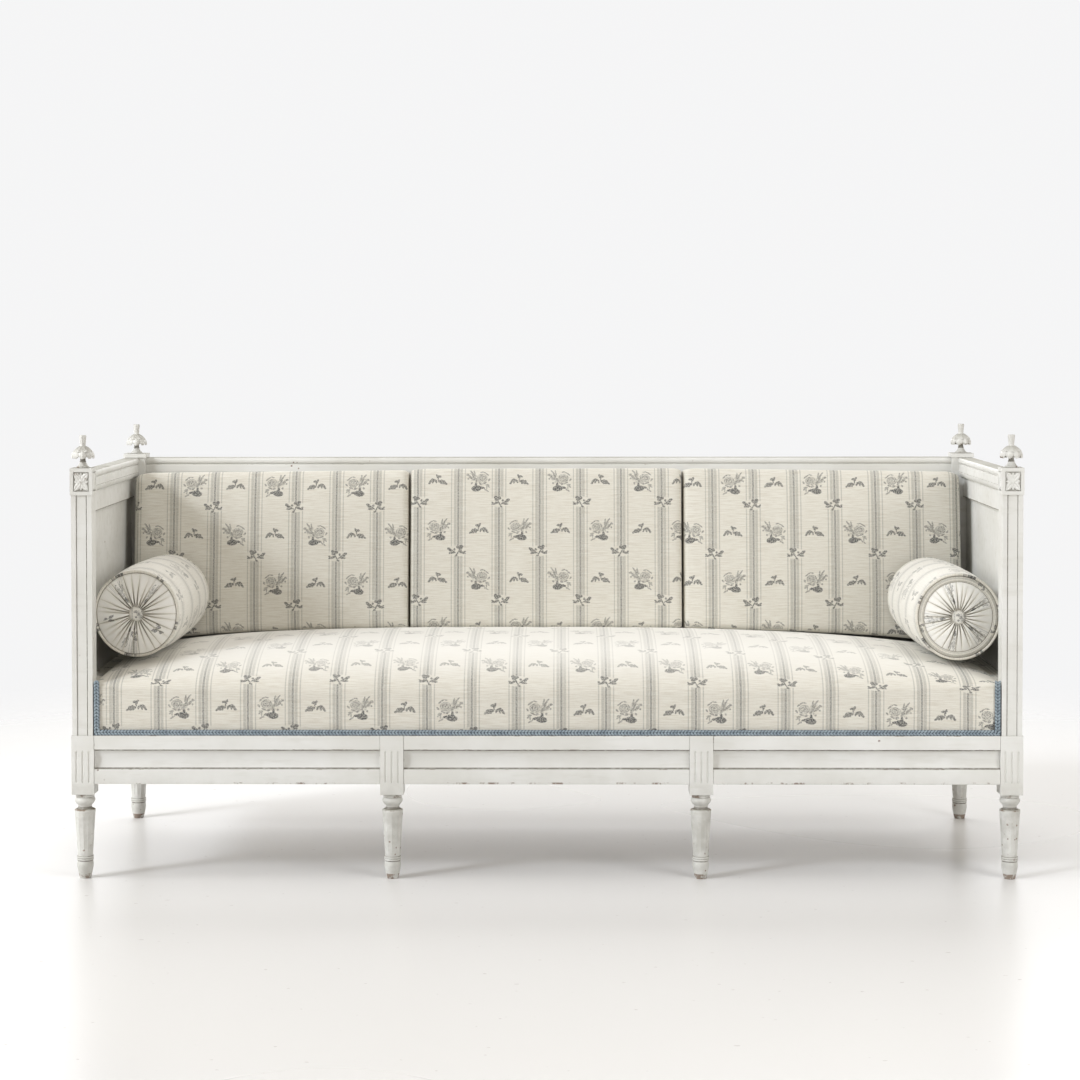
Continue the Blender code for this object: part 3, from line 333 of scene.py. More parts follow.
TWIG = ((-19.5, -9.7, 4.8, 2.3, 8), (-18, -15.5, 1.4, 4.8, 0), (-14.5, -20.5, 2.8, 1.7, 50), (-19, -23, 4.4, 1.6, 35),
        (-22.5, -14, 3.0, 1.6, 30))
LEAVES = ((-17.5, -6.5, 4.15, 2.32, 30), (-14.2, -2.6, 4.39, 2.68, 60), (-11.6, -6.2, 3.66, 2.07, 10),
          (-8.5, -0.8, 4.39, 3.17, 25), (-6.2, -5.2, 3.17, 2.2, 55), (-3.2, -1.2, 3.66, 2.93, -10),
          (8.8, 1, 3.9, 2.81, 20), (13.6, 1.4, 4.64, 3.17, -30), (17.4, -2, 4.39, 2.68, -60),
          (19.6, -5.6, 3.17, 2.32, -30), (11.8, -3.2, 3.42, 2.07, -70), (4.5, -2, 2.2, 3.9, -10),
          (-3, 9.6, 4.64, 2.68, 10), (2.6, 11.4, 3.66, 2.44, 65), (0.6, 7, 2.68, 2.07, 0), (-0.4, 4.4, 1.22, 4.39, 12))
SPRIG = ((-0.6, 8.6, 4.4, 3.4, 0), (6.8, 9.6, 5.0, 3.8, 15), (4.6, 5.2, 5.2, 2.9, -5), (-19.8, 4.0, 5.2, 3.2, -30),
         (-16.6, 0.6, 4.6, 2.4, 10), (9.8, -4.1, 7.6, 2.4, -12), (14.6, -1.6, 3.2, 1.8, 30), (5.2, -1.0, 3.4, 2.0, 20),
         (-14.4, -4.4, 7.2, 2.4, 6), (-0.5, -3.4, 7.6, 1.5, 60), (-9.3, -2.2, 6.4, 1.4, -34),
         (-5.0, -10.6, 3.2, 2.1, 20), (-8.5, 3.2, 2.6, 2.8, 0))
SPRIG_ROOM = ((-2, 0, 25, 13, 0),)
HAZE = ((-8, 6, 14.5, 11.5, 0), (13, 9, 12.5, 11.5, 25), (2, -2, 14, 7, 0))
print("ellipses in the drawings:", sum(map(len, (ROSE, SPRAY, BOWL, TWIG, LEAVES, SPRIG, HAZE))))

# %% Cloth
CREAM, SLUB, BRIGHT = (0.745, 0.727, 0.660, 1), (0.630, 0.595, 0.515, 1), (0.83, 0.81, 0.74, 1)
PALE_HIGHLIGHT = (0.91, 0.903, 0.868, 1)
STRIPE_INK, MOTIF_INK, SHADE = (0.150, 0.155, 0.150, 1), (0.075, 0.078, 0.080, 1), (0.085, 0.055, 0.035, 1)


def ellipses(tree, spot, drawing):
    """The smallest of the distances to a drawing's ellipses, each 1 on its own outline."""
    nearest = None
    for x, y, wide, high, turn in drawing:
        centre = (x * MM, y * MM, 0.0)
        at = spot
        if turn:
            inputs = {"Vector": spot, "Center": centre, "Angle": -math.radians(turn)}
            at = add(tree, "ShaderNodeVectorRotate", inputs, rotation_type="Z_AXIS").outputs[0]
        scale = (1 / (wide * MM), 1 / (high * MM), 0.0)
        offset = (-centre[0] * scale[0], -centre[1] * scale[1], 0.0)
        distance = vectors(tree, "LENGTH", vectors(tree, "MULTIPLY_ADD", at, scale, offset))
        nearest = distance if nearest is None else maths(tree, "MINIMUM", nearest, distance)
    return nearest


def folded(tree, u, v, shift_u, shift_v):
    """Coordinates inside a cell of the pattern, mirrored on every second row, and the cell's parity."""
    u, v = maths(tree, "ADD", u, shift_u), maths(tree, "ADD", v, shift_v)
    column = maths(tree, "FLOOR", maths(tree, "MULTIPLY_ADD", u, 1 / PITCH, 0.5))
    row = maths(tree, "FLOOR", maths(tree, "MULTIPLY_ADD", v, 1 / ROW, 0.5))
    odd_row = maths(tree, "FLOORED_MODULO", row, 2.0)
    flip = maths(tree, "MULTIPLY_ADD", odd_row, 2.0, -1.0)
    x = maths(tree, "MULTIPLY", maths(tree, "WRAP", u, PITCH / 2, -PITCH / 2), flip)
    y = maths(tree, "WRAP", v, ROW / 2, -ROW / 2)
    spot = add(tree, "ShaderNodeCombineXYZ", {"X": x, "Y": y}).outputs[0]
    parity = maths(tree, "FLOORED_MODULO", maths(tree, "ADD", column, row), 2.0)
    return spot, parity


def ink(tree, spot, drawing, strength):
    return remap(tree, ellipses(tree, spot, drawing), 1.12, 0.88, 0.0, strength)


cloth, tree, shader = material("woven_fabric")
uv = add(tree, "ShaderNodeUVMap", uv_map="cloth").outputs[0]
parts = add(tree, "ShaderNodeSeparateXYZ", {0: uv})
u, v = parts.outputs["X"], parts.outputs["Y"]
faded_and_highlit, fold_shade_and_highlight = attribute(tree, "faded_and_highlit"), attribute(tree, "fold_shade_and_highlight")
threads = speckle(tree, uv, 1.0, 2.0, 0.6, (420.0, 900.0, 1.0))
slub = speckle(tree, uv, 1.0, 3.0, 0.65, (26.0, 520.0, 1.0))
grainy = speckle(tree, uv, 430.0, 1.0)
curl = speckle(tree, uv, 190.0, 2.0)
wander = add(tree, "ShaderNodeTexNoise", {"Vector": uv, "Scale": 330.0, "Detail": 1.0}).outputs["Color"]
wander = vectors(tree, "MULTIPLY_ADD", wander, (0.0026, 0.0026, 0.0), (-0.0013, -0.0013, 0.0))

# stripes: a ramp from the middle of a stripe to the middle of the ground
share = maths(tree, "DIVIDE", maths(tree, "PINGPONG", u, PITCH / 2), PITCH / 2)
ramp = add(tree, "ShaderNodeValToRGB", {"Fac": share})
stops = ramp.color_ramp.elements
stops[0].color = (STRIPE[0][1],) * 3 + (1,)
stops[1].color = (STRIPE[-1][1],) * 3 + (1,)
for mm, dark in STRIPE[1:]:
    stops.new(mm * MM / (PITCH / 2)).color = (dark, dark, dark, 1)
stripes = maths(tree, "MULTIPLY", ramp.outputs["Color"], remap(tree, threads, 0.35, 0.62, 0.55, 1.15))
stripes = maths(tree, "MULTIPLY", stripes, remap(tree, grainy, 0.36, 0.62, 0.70, 1.10))

# a bouquet or a pair of leaves in the middle of each cell of ground
spot, parity = folded(tree, u, v, -PITCH / 2, 0.0)
spot = vectors(tree, "ADD", spot, wander)
rose = ellipses(tree, spot, ROSE)
petals = maths(tree, "SINE", maths(tree, "MULTIPLY_ADD", rose, 15.0, maths(tree, "MULTIPLY", curl, 13.0)))
bouquet = maths(tree, "MULTIPLY", remap(tree, rose, 1.12, 0.88), remap(tree, petals, -0.4, 0.7, 0.22, 0.74))
haze = maths(tree, "MULTIPLY", remap(tree, curl, 0.42, 0.58), 0.42)
haze = maths(tree, "MULTIPLY", remap(tree, ellipses(tree, spot, HAZE), 1.0, 0.6), haze)
bouquet = maths(tree, "MAXIMUM", bouquet, haze)
for drawing, strength in ((SPRAY, 0.66), (TWIG, 0.60), (BOWL, 0.95)):
    bouquet = maths(tree, "MAXIMUM", bouquet, ink(tree, spot, drawing, strength))
leaves = ink(tree, spot, LEAVES, 0.84)
motif = add(tree, "ShaderNodeMix", {0: parity, 2: bouquet, 3: leaves}, data_type="FLOAT").outputs[0]

# a sprig on the stripe, which is left out behind it
spot, parity = folded(tree, u, v, 0.0, SPRIG_DROP)
clear = maths(tree, "MULTIPLY", remap(tree, ellipses(tree, spot, SPRIG_ROOM), 1.0, 0.88), parity)
stripes = maths(tree, "MULTIPLY", stripes, maths(tree, "MULTIPLY_ADD", clear, -0.85, 1.0))
spot = vectors(tree, "ADD", spot, wander)
motif = maths(tree, "MAXIMUM", motif, maths(tree, "MULTIPLY", ink(tree, spot, SPRIG, 0.86), parity))
motif = maths(tree, "MULTIPLY", motif, remap(tree, grainy, 0.36, 0.62, 0.50, 1.06))
# faded cloth keeps less ink; on the seat top and the bolster bodies this is also a painted highlight
left_over = remap(tree, faded_and_highlit, 0.0, 1.0, 1.0, 0.45)
stripes, motif = maths(tree, "MULTIPLY", stripes, left_over), maths(tree, "MULTIPLY", motif, left_over)

ground = blend(tree, remap(tree, slub, 0.38, 0.66), CREAM, SLUB)
ground = blend(tree, remap(tree, threads, 0.35, 0.7, 0.0, 0.35), ground, BRIGHT)
# a paler ground: a painted highlight on pleat ridges and buttons, and on faded cloth, where it adds to the fading
highlight_and_fade = maths(tree, "MAXIMUM", remap(tree, fold_shade_and_highlight, 0.0, -1.0), maths(tree, "MULTIPLY", faded_and_highlit, 0.8))
ground = blend(tree, highlight_and_fade, ground, PALE_HIGHLIGHT)
colour = blend(tree, maths(tree, "MULTIPLY", stripes, 0.80), ground, STRIPE_INK)
colour = blend(tree, motif, colour, MOTIF_INK)
# painted shade in pleats and grooves
colour = blend(tree, maths(tree, "MULTIPLY", fold_shade_and_highlight, 0.85), colour, SHADE)
relief = maths(tree, "MULTIPLY_ADD", slub, 1.4, threads)
feed(tree, shader, {"Base Color": colour, "Roughness": remap(tree, threads, 0.3, 0.7, 0.80, 0.95),
                    "Specular IOR Level": 0.25, "Sheen Weight": 0.12, "Normal": bump(tree, relief, 0.35, 0.0007)})
print("cloth:", len(tree.nodes), "nodes")

# %% [markdown]
# ## The painted rails, posts and panels
# The CAD rails have razor-sharp edges, which no painted wood has. A Bevel modifier rounds every edge by less than
# a millimetre, and it also fills the inside corners a little, as paint does. The CAD mesh arrives as loose
# triangles, so a copy is merged first and its flat faces are joined. The strips that the modifier makes are the
# ones that get the `edge` number, so the modifier puts them in a second material slot where they can be found.
# Some wear has no edge of its own: the lower hem of the front rail is kicked, dirt gathers under the arm rails and
# along both lines of the hollow in the front rail. Those faces are cut where needed and marked by their height.

# %% Painted pieces from the CAD shapes
EDGE_ROUND, EDGE_ANGLE = 0.0009, 38
# faces in a groove get painted shade, like the inside corners, where there is also dirt
NARROW, GROOVE_SHADE_MARK = 0.008, -0.62  # a face that looks at another one this near lies in a groove
HEM = {"front_rail": (rail_low.z + 0.0040, 0.95), "arm_rail": (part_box("arm_rail_left")[0].z + 0.0020, -0.80)}
COVE_TOP, COVE_BOTTOM = rail_high.z - 0.029, rail_high.z - 0.069
COVE_LINE = (-0.0004, 0.0028)
COVE_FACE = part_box("front_rail_left")[0].y + 0.0012


def merged(node):
    """A copy of a CAD node's mesh as one connected surface with its flat faces joined."""
    mesh = bpy.data.meshes.new(node + "_finish")
    with reshaped(mesh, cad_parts[node].data) as shape:
        bmesh.ops.remove_doubles(shape, verts=shape.verts, dist=1e-5)
        bmesh.ops.dissolve_limit(shape, angle_limit=math.radians(0.5), verts=shape.verts, edges=shape.edges)
        bmesh.ops.recalc_face_normals(shape, faces=shape.faces)
    return placed(node + "_finish", mesh)


def rounded(made, width=EDGE_ROUND):
    """Round the edges of a piece, and mark the rounded strips as outside edges or inside corners."""
    mesh = made.data
    mesh.materials.clear()
    mesh.materials.append(None)
    mesh.materials.append(None)
    mesh.polygons.foreach_set("material_index", [0] * len(mesh.polygons))
    sharp = BVHTree.FromPolygons([v.co for v in mesh.vertices], [p.vertices for p in mesh.polygons])
    modifier = made.modifiers.new("round", "BEVEL")
    modifier.width = width
    modifier.segments = 2
    modifier.limit_method = "ANGLE"
    modifier.angle_limit = math.radians(EDGE_ANGLE)
    modifier.material = 1
    modifier.use_clamp_overlap = True
    mesh = settled(made).data
    marks = []
    for face in mesh.polygons:
        mark = 0.0
        if face.material_index == 1:
            nearest = sharp.find_nearest(face.center)[0]
            mark = 1.0 if (nearest - face.center).dot(face.normal) >= 0 else -1.0
        # a face that looks into a groove gets painted shade
        elif sharp.ray_cast(face.center + face.normal * 0.0002, face.normal, NARROW)[0]:
            mark = GROOVE_SHADE_MARK
        marks.append(mark)
    numbered(made, "edge", marks, "FACE")
    mesh.polygons.foreach_set("material_index", [0] * len(mesh.polygons))
    mesh.shade_smooth()
    mesh.set_sharp_from_angle(angle=math.radians(44))
    made.modifiers.new("even", "WEIGHTED_NORMAL").keep_sharp = True
    return settled(made)


def hemmed(made, height):
    """Cut the faces of a rail near its lower edge, so that the strip below can be marked."""
    with reshaped(made.data) as shape:
        everything = shape.verts[:] + shape.edges[:] + shape.faces[:]
        bmesh.ops.bisect_plane(shape, geom=everything, plane_co=(0, 0, height), plane_no=(0, 0, 1))


def edged(made, height, mark):
    """Wear or dirt on the upright faces below a height."""
    marks = made.data.attributes["edge"].data
    for face in made.data.polygons:
        if face.center.z < height and abs(face.normal.z) < 0.7:
            marks[face.index].value = mark


def soiled(made):
    """Dirt along the upper and lower line of the hollow in a front rail."""
    marks = made.data.attributes["edge"].data
    for face in made.data.polygons:
        if face.center.y > COVE_FACE:
            if COVE_LINE[0] < COVE_TOP - face.center.z < COVE_LINE[1]:
                marks[face.index].value = -0.95
            elif COVE_LINE[0] < face.center.z - COVE_BOTTOM < COVE_LINE[1]:
                marks[face.index].value = -0.70


plain = [f"front_rail_{place}" for place in PLACES] + ["back_rail", "rear_rail"]
plain += [f"back_panel_{place}" for place in PLACES]
for side, _ in SIDES:
    plain += [f"{name}_{side}" for name in ("side_rail", "arm_rail", "arm_panel", "back_stile", "front_stile",
                                            "front_post", "rear_post", "rear_cap")]
for node in plain:
    made = merged(node)
    hem = HEM.get(node.rsplit("_", 1)[0])
    if hem:
        hemmed(made, hem[0])
    rounded(made)
    if hem:
        edged(made, *hem)
    if node.startswith("front_rail"):
        soiled(made)
    seated(made, "frame", node, paint)
print("painted pieces:", len(plain))

# %% [markdown]
# ## Turned legs
# A leg is turned on a lathe and then fluted by hand. One outline of heights and radii is enough: it is spun in
# small steps, and between the shoulder and the ankle the radius dips and rises with the angle. The outline is a
# chain of straight and round stretches, so each ring and hollow keeps its own crisp edge.

# %% Turned legs
TURNS = 72
FLUTES, FLUTE_DEPTH = 12, 0.0008
FLUTES_LOW, FLUTES_HIGH = 0.050, 0.138


def stretch(start, stop, steps, bow=0.0):
    """Points from one (height, radius) to another; bow swells the middle outwards."""
    (z0, r0), (z1, r1) = start, stop
    for i in range(steps):
        t = i / steps
        yield z0 + (z1 - z0) * t, r0 + (r1 - r0) * t + bow * math.sin(math.pi * t)


def turned(name, centre, outline, depth):
    """A solid of revolution; depth(height, turn) is how far the carving goes in there."""
    points = []
    for z, radius in outline:
        for i in range(TURNS):
            turn = 2 * math.pi * i / TURNS
            reach = radius - depth(z, turn)
            points.append((centre.x + reach * math.cos(turn), centre.y + reach * math.sin(turn), z))
    made = piece(name, points, tube(len(outline), TURNS))
    outward(made)
    made.data.set_sharp_from_angle(angle=math.radians(48))
    return made


def leg_flutes(z, turn):
    ease = min(1.0, max(0.0, (FLUTES_HIGH - z) / 0.006)) * min(1.0, max(0.0, (z - FLUTES_LOW) / 0.008))
    wave = math.cos(FLUTES * turn / 2) ** 8
    return FLUTE_DEPTH * ease * (1 - wave) ** 0.5 if ease else 0.0


def lathe_marks(made, bands, hollows, other):
    """Mark the rings of a turned piece that stick out as edges, and its hollows as corners for dirt and painted shade.
    """
    marks = []
    for face in made.data.polygons:
        z = face.center.z
        if any(low <= z <= high for low, high in bands):
            marks.append(1.0)
        else:
            marks.append(-0.75 if any(low <= z <= high for low, high in hollows) else other)
    numbered(made, "edge", marks, "FACE")


LEG_OUTLINE = [
    (0.1757, 0.0100), (0.1757, 0.0184), (0.1751, 0.0190), (0.1690, 0.0190), (0.1684, 0.0184),  # collar
    *stretch((0.1680, 0.0186), (0.1560, 0.0182), 10, 0.0027),
    *stretch((0.1556, 0.0180), (0.1480, 0.0141), 7, -0.0012),
    *stretch((0.1476, 0.0139), (0.1432, 0.0192), 6, -0.0012),
    (0.1428, 0.0206), (0.1420, 0.0213),
    *stretch((0.1412, 0.0215), (0.0470, 0.0156), 40),  # fluted taper
    (0.0466, 0.0156), (0.0460, 0.0166), (0.0450, 0.0172), (0.0428, 0.0172), (0.0420, 0.0164), (0.0412, 0.0164),
    (0.0404, 0.0172), (0.0382, 0.0172), (0.0374, 0.0163), (0.0366, 0.0156),  # two rings
    *stretch((0.0358, 0.0160), (0.0240, 0.0166), 8, 0.0006),
    *stretch((0.0235, 0.0165), (0.0030, 0.0122), 8, 0.0003),
    (0.0010, 0.0119), (0.0, 0.0112)]
LEG_BANDS = ((0.1405, 0.1436), (0.1690, 0.1760), (0.0, 0.010))
LEG_HOLLOWS = ((0.1440, 0.1490), (0.1552, 0.1562), (0.1678, 0.1689), (0.0460, 0.0476), (0.0410, 0.0424),
               (0.0358, 0.0378))
for name in ("front_leg", "inner_leg", "rear_leg"):
    for side, _ in SIDES:
        node = f"{name}_{side}"
        low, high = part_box(node)
        made = turned(node + "_turned", (low + high) / 2, LEG_OUTLINE, leg_flutes)
        # the hollows of a leg get the dirt and painted shade of inside corners
        lathe_marks(made, LEG_BANDS, LEG_HOLLOWS, -0.05)
        seated(made, "frame", node, paint)
print("legs of", len(made.data.polygons), "faces")

# %% [markdown]
# ## Finials with drooping leaves
# Each post carries a small turned urn with a ring of carved leaves that hang over its neck. The core is turned like
# a leg. One leaf is a small bent sheet with a raised rib and a scalloped rim; Geometry Nodes sets copies of it on
# points in the middle and turns each outwards, so the number of leaves is one input.

# %% One leaf, and rings of leaves
LEAF_COUNT = 8
LEAF_ROWS, LEAF_COLUMNS = 16, 10
DOME_IN, DOME_OUT, DOME_DROP = 0.0058, 0.0166, 0.0255


def leaf(share, out, thick):
    """A leaf that lies on a dome and hangs from its top, as a closed sheet along +X."""
    points = []
    for under in (0.0, thick):
        for i in range(LEAF_ROWS + 1):
            t = i / LEAF_ROWS
            down = share * t
            radius = DOME_IN + DOME_OUT * math.sin(math.pi * down / 1.52) ** 0.8 + out + 0.0010 * t ** 6
            scallop = 1 - 0.10 * abs(math.sin(4 * math.pi * t)) * t
            half = math.pi / LEAF_COUNT * 1.10 * max(0.10, 1 - t ** 5) ** 0.5 * scallop
            for j in range(LEAF_COLUMNS + 1):
                s = 2 * j / LEAF_COLUMNS - 1
                rib = 0.0008 * math.exp(-(s / 0.22) ** 2) - 0.0013 * s * s + 0.0003 * math.cos(4 * math.pi * s) * t
                reach = radius + rib - under
                points.append((reach * math.cos(s * half), reach * math.sin(s * half), -DOME_DROP * down))
    made = piece("leaf", points, shell(LEAF_ROWS, LEAF_COLUMNS))
    outward(made)
    return made


def node_group(name, **inputs):
    """A Geometry Nodes group with its input node, and the identifiers of its named inputs."""
    group = bpy.data.node_groups.new(name, "GeometryNodeTree")
    group.interface.new_socket("Geometry", in_out="INPUT", socket_type="NodeSocketGeometry")
    ids = {key: group.interface.new_socket(key, in_out="INPUT", socket_type=kind).identifier
           for key, kind in inputs.items()}
    group.interface.new_socket("Geometry", in_out="OUTPUT", socket_type="NodeSocketGeometry")
    return group, group.nodes.new("NodeGroupInput").outputs, ids


def set_copies(group, points, rotation, source, look):
    """The end of a node group: copies of an object on points, made into a real mesh with a finish."""
    info = add(group, "GeometryNodeObjectInfo", {"Object": source})
    copies = add(group, "GeometryNodeInstanceOnPoints",
                 {"Points": points, "Instance": info.outputs["Geometry"], "Rotation": rotation})
    real = add(group, "GeometryNodeRealizeInstances", {0: copies.outputs[0]})
    dressed = add(group, "GeometryNodeSetMaterial", {"Geometry": real.outputs[0], "Material": look})
    add(group, "NodeGroupOutput", {0: dressed.outputs[0]})


def ring_of(name, source, look):
    """A node group that sets copies of an object round one centre, each turned further than the last."""
    group, given, ids = node_group(name, count="NodeSocketInt", lift="NodeSocketFloat", first="NodeSocketFloat")
    place = add(group, "ShaderNodeCombineXYZ", {"Z": given["lift"]}).outputs[0]
    points = add(group, "GeometryNodePoints", {"Count": given["count"], "Position": place}).outputs[0]
    index = add(group, "GeometryNodeInputIndex").outputs[0]
    step = maths(group, "DIVIDE", 2 * math.pi, given["count"])
    turn = maths(group, "MULTIPLY_ADD", index, step, given["first"])
    rotation = add(group, "ShaderNodeCombineXYZ", {"Z": turn}).outputs[0]
    set_copies(group, points, rotation, source, look)
    return group, ids


def grown(name, group, ids, path=(), **values):
    """A plain mesh from a node group, on a path of points or on nothing."""
    mesh = bpy.data.meshes.new(name)
    mesh.from_pydata(path, [(k, k + 1) for k in range(len(path) - 1)], [])
    made = placed(name, mesh)
    modifier = made.modifiers.new("nodes", "NODES")
    modifier.node_group = group
    for key, value in values.items():
        modifier[ids[key]] = value
    return settled(made)


big_leaf = leaf(1.0, 0.0, 0.0013)
small_leaf = leaf(0.46, 0.0005, 0.0010)
big_ring, big_ids = ring_of("leaf_ring", big_leaf, paint)
small_ring, small_ids = ring_of("small_leaf_ring", small_leaf, paint)
print("leaf:", len(big_leaf.data.polygons), "faces, set", LEAF_COUNT, "times")

# %% [markdown]
# The turned core stands on the post, and the two rings of leaves are joined to it, so a finial is one piece. The
# tip flares like a cut stalk with shallow flutes.

# %% Finials
SEAT_GAP = 0.0003
BIG_LIFT, SMALL_LIFT = 0.0442, 0.0444
FIRST_TURN = {"left": 0.15, "right": 0.42}
STALK_LOW, STALK_HIGH, STALK_FLUTES = 0.046, 0.064, 9
FINIAL_OUTLINE = [
    (0.0, 0.0050), (0.0, 0.0124), (0.0006, 0.0130), (0.0022, 0.0130), (0.0028, 0.0122),
    *stretch((0.0032, 0.0118), (0.0122, 0.0062), 10, -0.0004),
    (0.0128, 0.0066), (0.0137, 0.0066), (0.0143, 0.0057), (0.0185, 0.0054),
    *stretch((0.0200, 0.0062), (0.0290, 0.0166), 8, -0.0010),  # the urn under the leaves
    *stretch((0.0300, 0.0168), (0.0436, 0.0062), 10, 0.0014),
    (0.0446, 0.0058),
    *stretch((0.0456, 0.0057), (0.0640, 0.0074), 12),  # the stalk
    (0.0650, 0.0075), (0.0662, 0.0073), (0.0667, 0.0064), (0.0662, 0.0030)]
FINIAL_BANDS = ((0.0, 0.0030), (0.0185, 0.022), (0.0645, 0.068))
FINIAL_HOLLOWS = ((0.0115, 0.0185),)


def raised(pairs, by):
    return [(low + by, high + by) for low, high in pairs]


def joined(name, made, others, shift=Vector()):
    """One object from several, the others moved by a shift and then removed."""
    with reshaped(made.data) as shape:
        for item in others:
            before = len(shape.verts)
            shape.from_mesh(item.data)
            shape.verts.ensure_lookup_table()
            bmesh.ops.translate(shape, verts=shape.verts[before:], vec=shift)
    made.data.update()
    made.name = name
    for item in others:
        bpy.data.objects.remove(item, do_unlink=True)
    return made


def finial(node, side, seat):
    def stalk(z, turn):
        fluted = STALK_LOW < z - seat < STALK_HIGH
        return 0.0007 * (0.5 + 0.5 * math.cos(STALK_FLUTES * turn)) if fluted else 0.0

    low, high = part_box(node)
    centre = Vector(((low.x + high.x) / 2, (low.y + high.y) / 2, 0))
    made = turned(node + "_carved", centre, [(seat + z, radius) for z, radius in FINIAL_OUTLINE], stalk)
    first = FIRST_TURN[side]
    rings = [grown("ring", big_ring, big_ids, count=LEAF_COUNT, lift=seat + BIG_LIFT, first=first),
             grown("ring", small_ring, small_ids, count=LEAF_COUNT, lift=seat + SMALL_LIFT,
                   first=first + math.pi / LEAF_COUNT)]
    joined(node + "_carved", made, rings, centre)
    made.data.shade_smooth()
    made.data.set_sharp_from_angle(angle=math.radians(50))
    # hollows get dirt and painted shade, and the rest of the finial a little of it, which greys the leaves
    lathe_marks(made, raised(FINIAL_BANDS, seat), raised(FINIAL_HOLLOWS, seat), -0.20)
    return seated(made, "frame", node, paint)


for row, top in (("front", post_high.z), ("rear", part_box("rear_cap_left")[1].z)):
    for side, _ in SIDES:
        made = finial(f"{row}_finial_{side}", side, top + SEAT_GAP)
for item in (big_leaf, small_leaf):
    bpy.data.objects.remove(item, do_unlink=True)
print("finial:", len(made.data.polygons), "faces")

# %% [markdown]
# ## Carved rosettes
# The upper block of a front post has a sunk field on three sides with a carved flower. Low relief is easiest as a
# height map: a fine grid whose points are lifted by a formula. Four large petals lie along the diagonals, four
# small ones between them, and a round boss sits in the middle. The grid is closed behind, so it is a real solid.

# %% Rosettes
FIELD_WIDE, FIELD_HIGH = 0.0308, 0.0388
FIELD_COLUMNS, FIELD_ROWS = 54, 66
RELIEF, BOSS = 0.0030, 0.0044
BIG_PETAL, SMALL_PETAL = (0.0205, 0.0064), (0.0146, 0.0040)


def petal(x, y, turn, length, wide):
    """How high a pointed petal stands at (x, y), from 0 to 1, with a groove along its middle."""
    a = x * math.cos(turn) + y * math.sin(turn)
    b = -x * math.sin(turn) + y * math.cos(turn)
    t = a / length
    if not 0.0 < t < 1.0:
        return 0.0
    half = wide * math.sin(math.pi * t ** 0.8) ** 0.7 * (1 - 0.12 * math.sin(9 * t) ** 2)
    if half <= 0 or abs(b) >= half:
        return 0.0
    s = abs(b) / half
    return (1 - s ** 4) ** 0.5 * (0.62 + 0.38 * min(1.0, s * 3.2)) * (0.75 + 0.25 * t)


def carving(x, y):
    y = y * FIELD_WIDE / FIELD_HIGH
    height = 0.0
    for k in range(4):
        height = max(height, petal(x, y, math.pi / 4 + k * math.pi / 2, *BIG_PETAL))
        height = max(height, 0.72 * petal(x, y, k * math.pi / 2, *SMALL_PETAL))
    away = math.hypot(x, y)
    if away < BOSS:
        height = max(height, 0.55 + 0.45 * (1 - (away / BOSS) ** 2) ** 0.5)
    return height


def rosette(name, centre, out, across):
    points = []
    for front in (False, True):
        for j in range(FIELD_ROWS + 1):
            for i in range(FIELD_COLUMNS + 1):
                x, y = FIELD_WIDE * (i / FIELD_COLUMNS - 0.5), FIELD_HIGH * (j / FIELD_ROWS - 0.5)
                lift = 0.0006 + RELIEF * carving(x, y) if front else 0.0004
                points.append(centre + across * x + Vector((0, 0, 1)) * y + out * lift)
    made = piece(name, points, shell(FIELD_ROWS, FIELD_COLUMNS))
    outward(made)
    heights = [(face.center - centre).dot(out) for face in made.data.polygons]
    # the sunk field round the flower gets painted shade, and the raised petals wear
    numbered(made, "edge", [1.0 if high > RELIEF else -0.55 if high < 0.0012 else 0.0 for high in heights], "FACE")
    return made


for side, way in SIDES:
    for face, out, across in (("front", (0, -1, 0), (1, 0, 0)), ("outer", (way, 0, 0), (0, 1, 0)),
                              ("inner", (-way, 0, 0), (0, 1, 0))):
        node = f"rosette_{face}_{side}"
        low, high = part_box(node)
        out = Vector(out)
        floor = (low + high) / 2 - out * abs((high - low).dot(out)) / 2 - out * 0.0003
        made = rosette(node + "_carved", floor, out, Vector(across))
        seated(made, "frame", node, paint)
print("rosette:", len(made.data.polygons), "faces")

# %% [markdown]
# ## Braces and webbing
# The braces are bare pine with slightly rounded edges. The straps are woven: each goes over one neighbour and under
# the next. A strap is a thin ribbon whose height follows a cosine with one wave for every two crossings.

# %% Braces and webbing
for side, _ in SIDES:
    made = rounded(merged(f"seat_brace_{side}"), 0.0015)
    seated(made, "frame", f"seat_brace_{side}", pine)

web_low, web_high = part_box("seat_webbing")
STRAP_WIDE, STRAP_THICK, STRAP_STEP = 0.060, 0.0010, 0.006
CROSS_COUNT, LONG_COUNT = 12, 3
MARGIN = 0.030
middle_z = (web_low.z + web_high.z) / 2
sway = (web_high.z - web_low.z - STRAP_THICK) / 2 - 0.0001
cross_first = -POST_INSIDE + MARGIN + STRAP_WIDE / 2
cross_pitch = -2 * cross_first / (CROSS_COUNT - 1)
long_first = post_high.y + MARGIN + STRAP_WIDE / 2
long_pitch = (rear_low.y - MARGIN - STRAP_WIDE / 2 - long_first) / (LONG_COUNT - 1)
points, faces = [], []


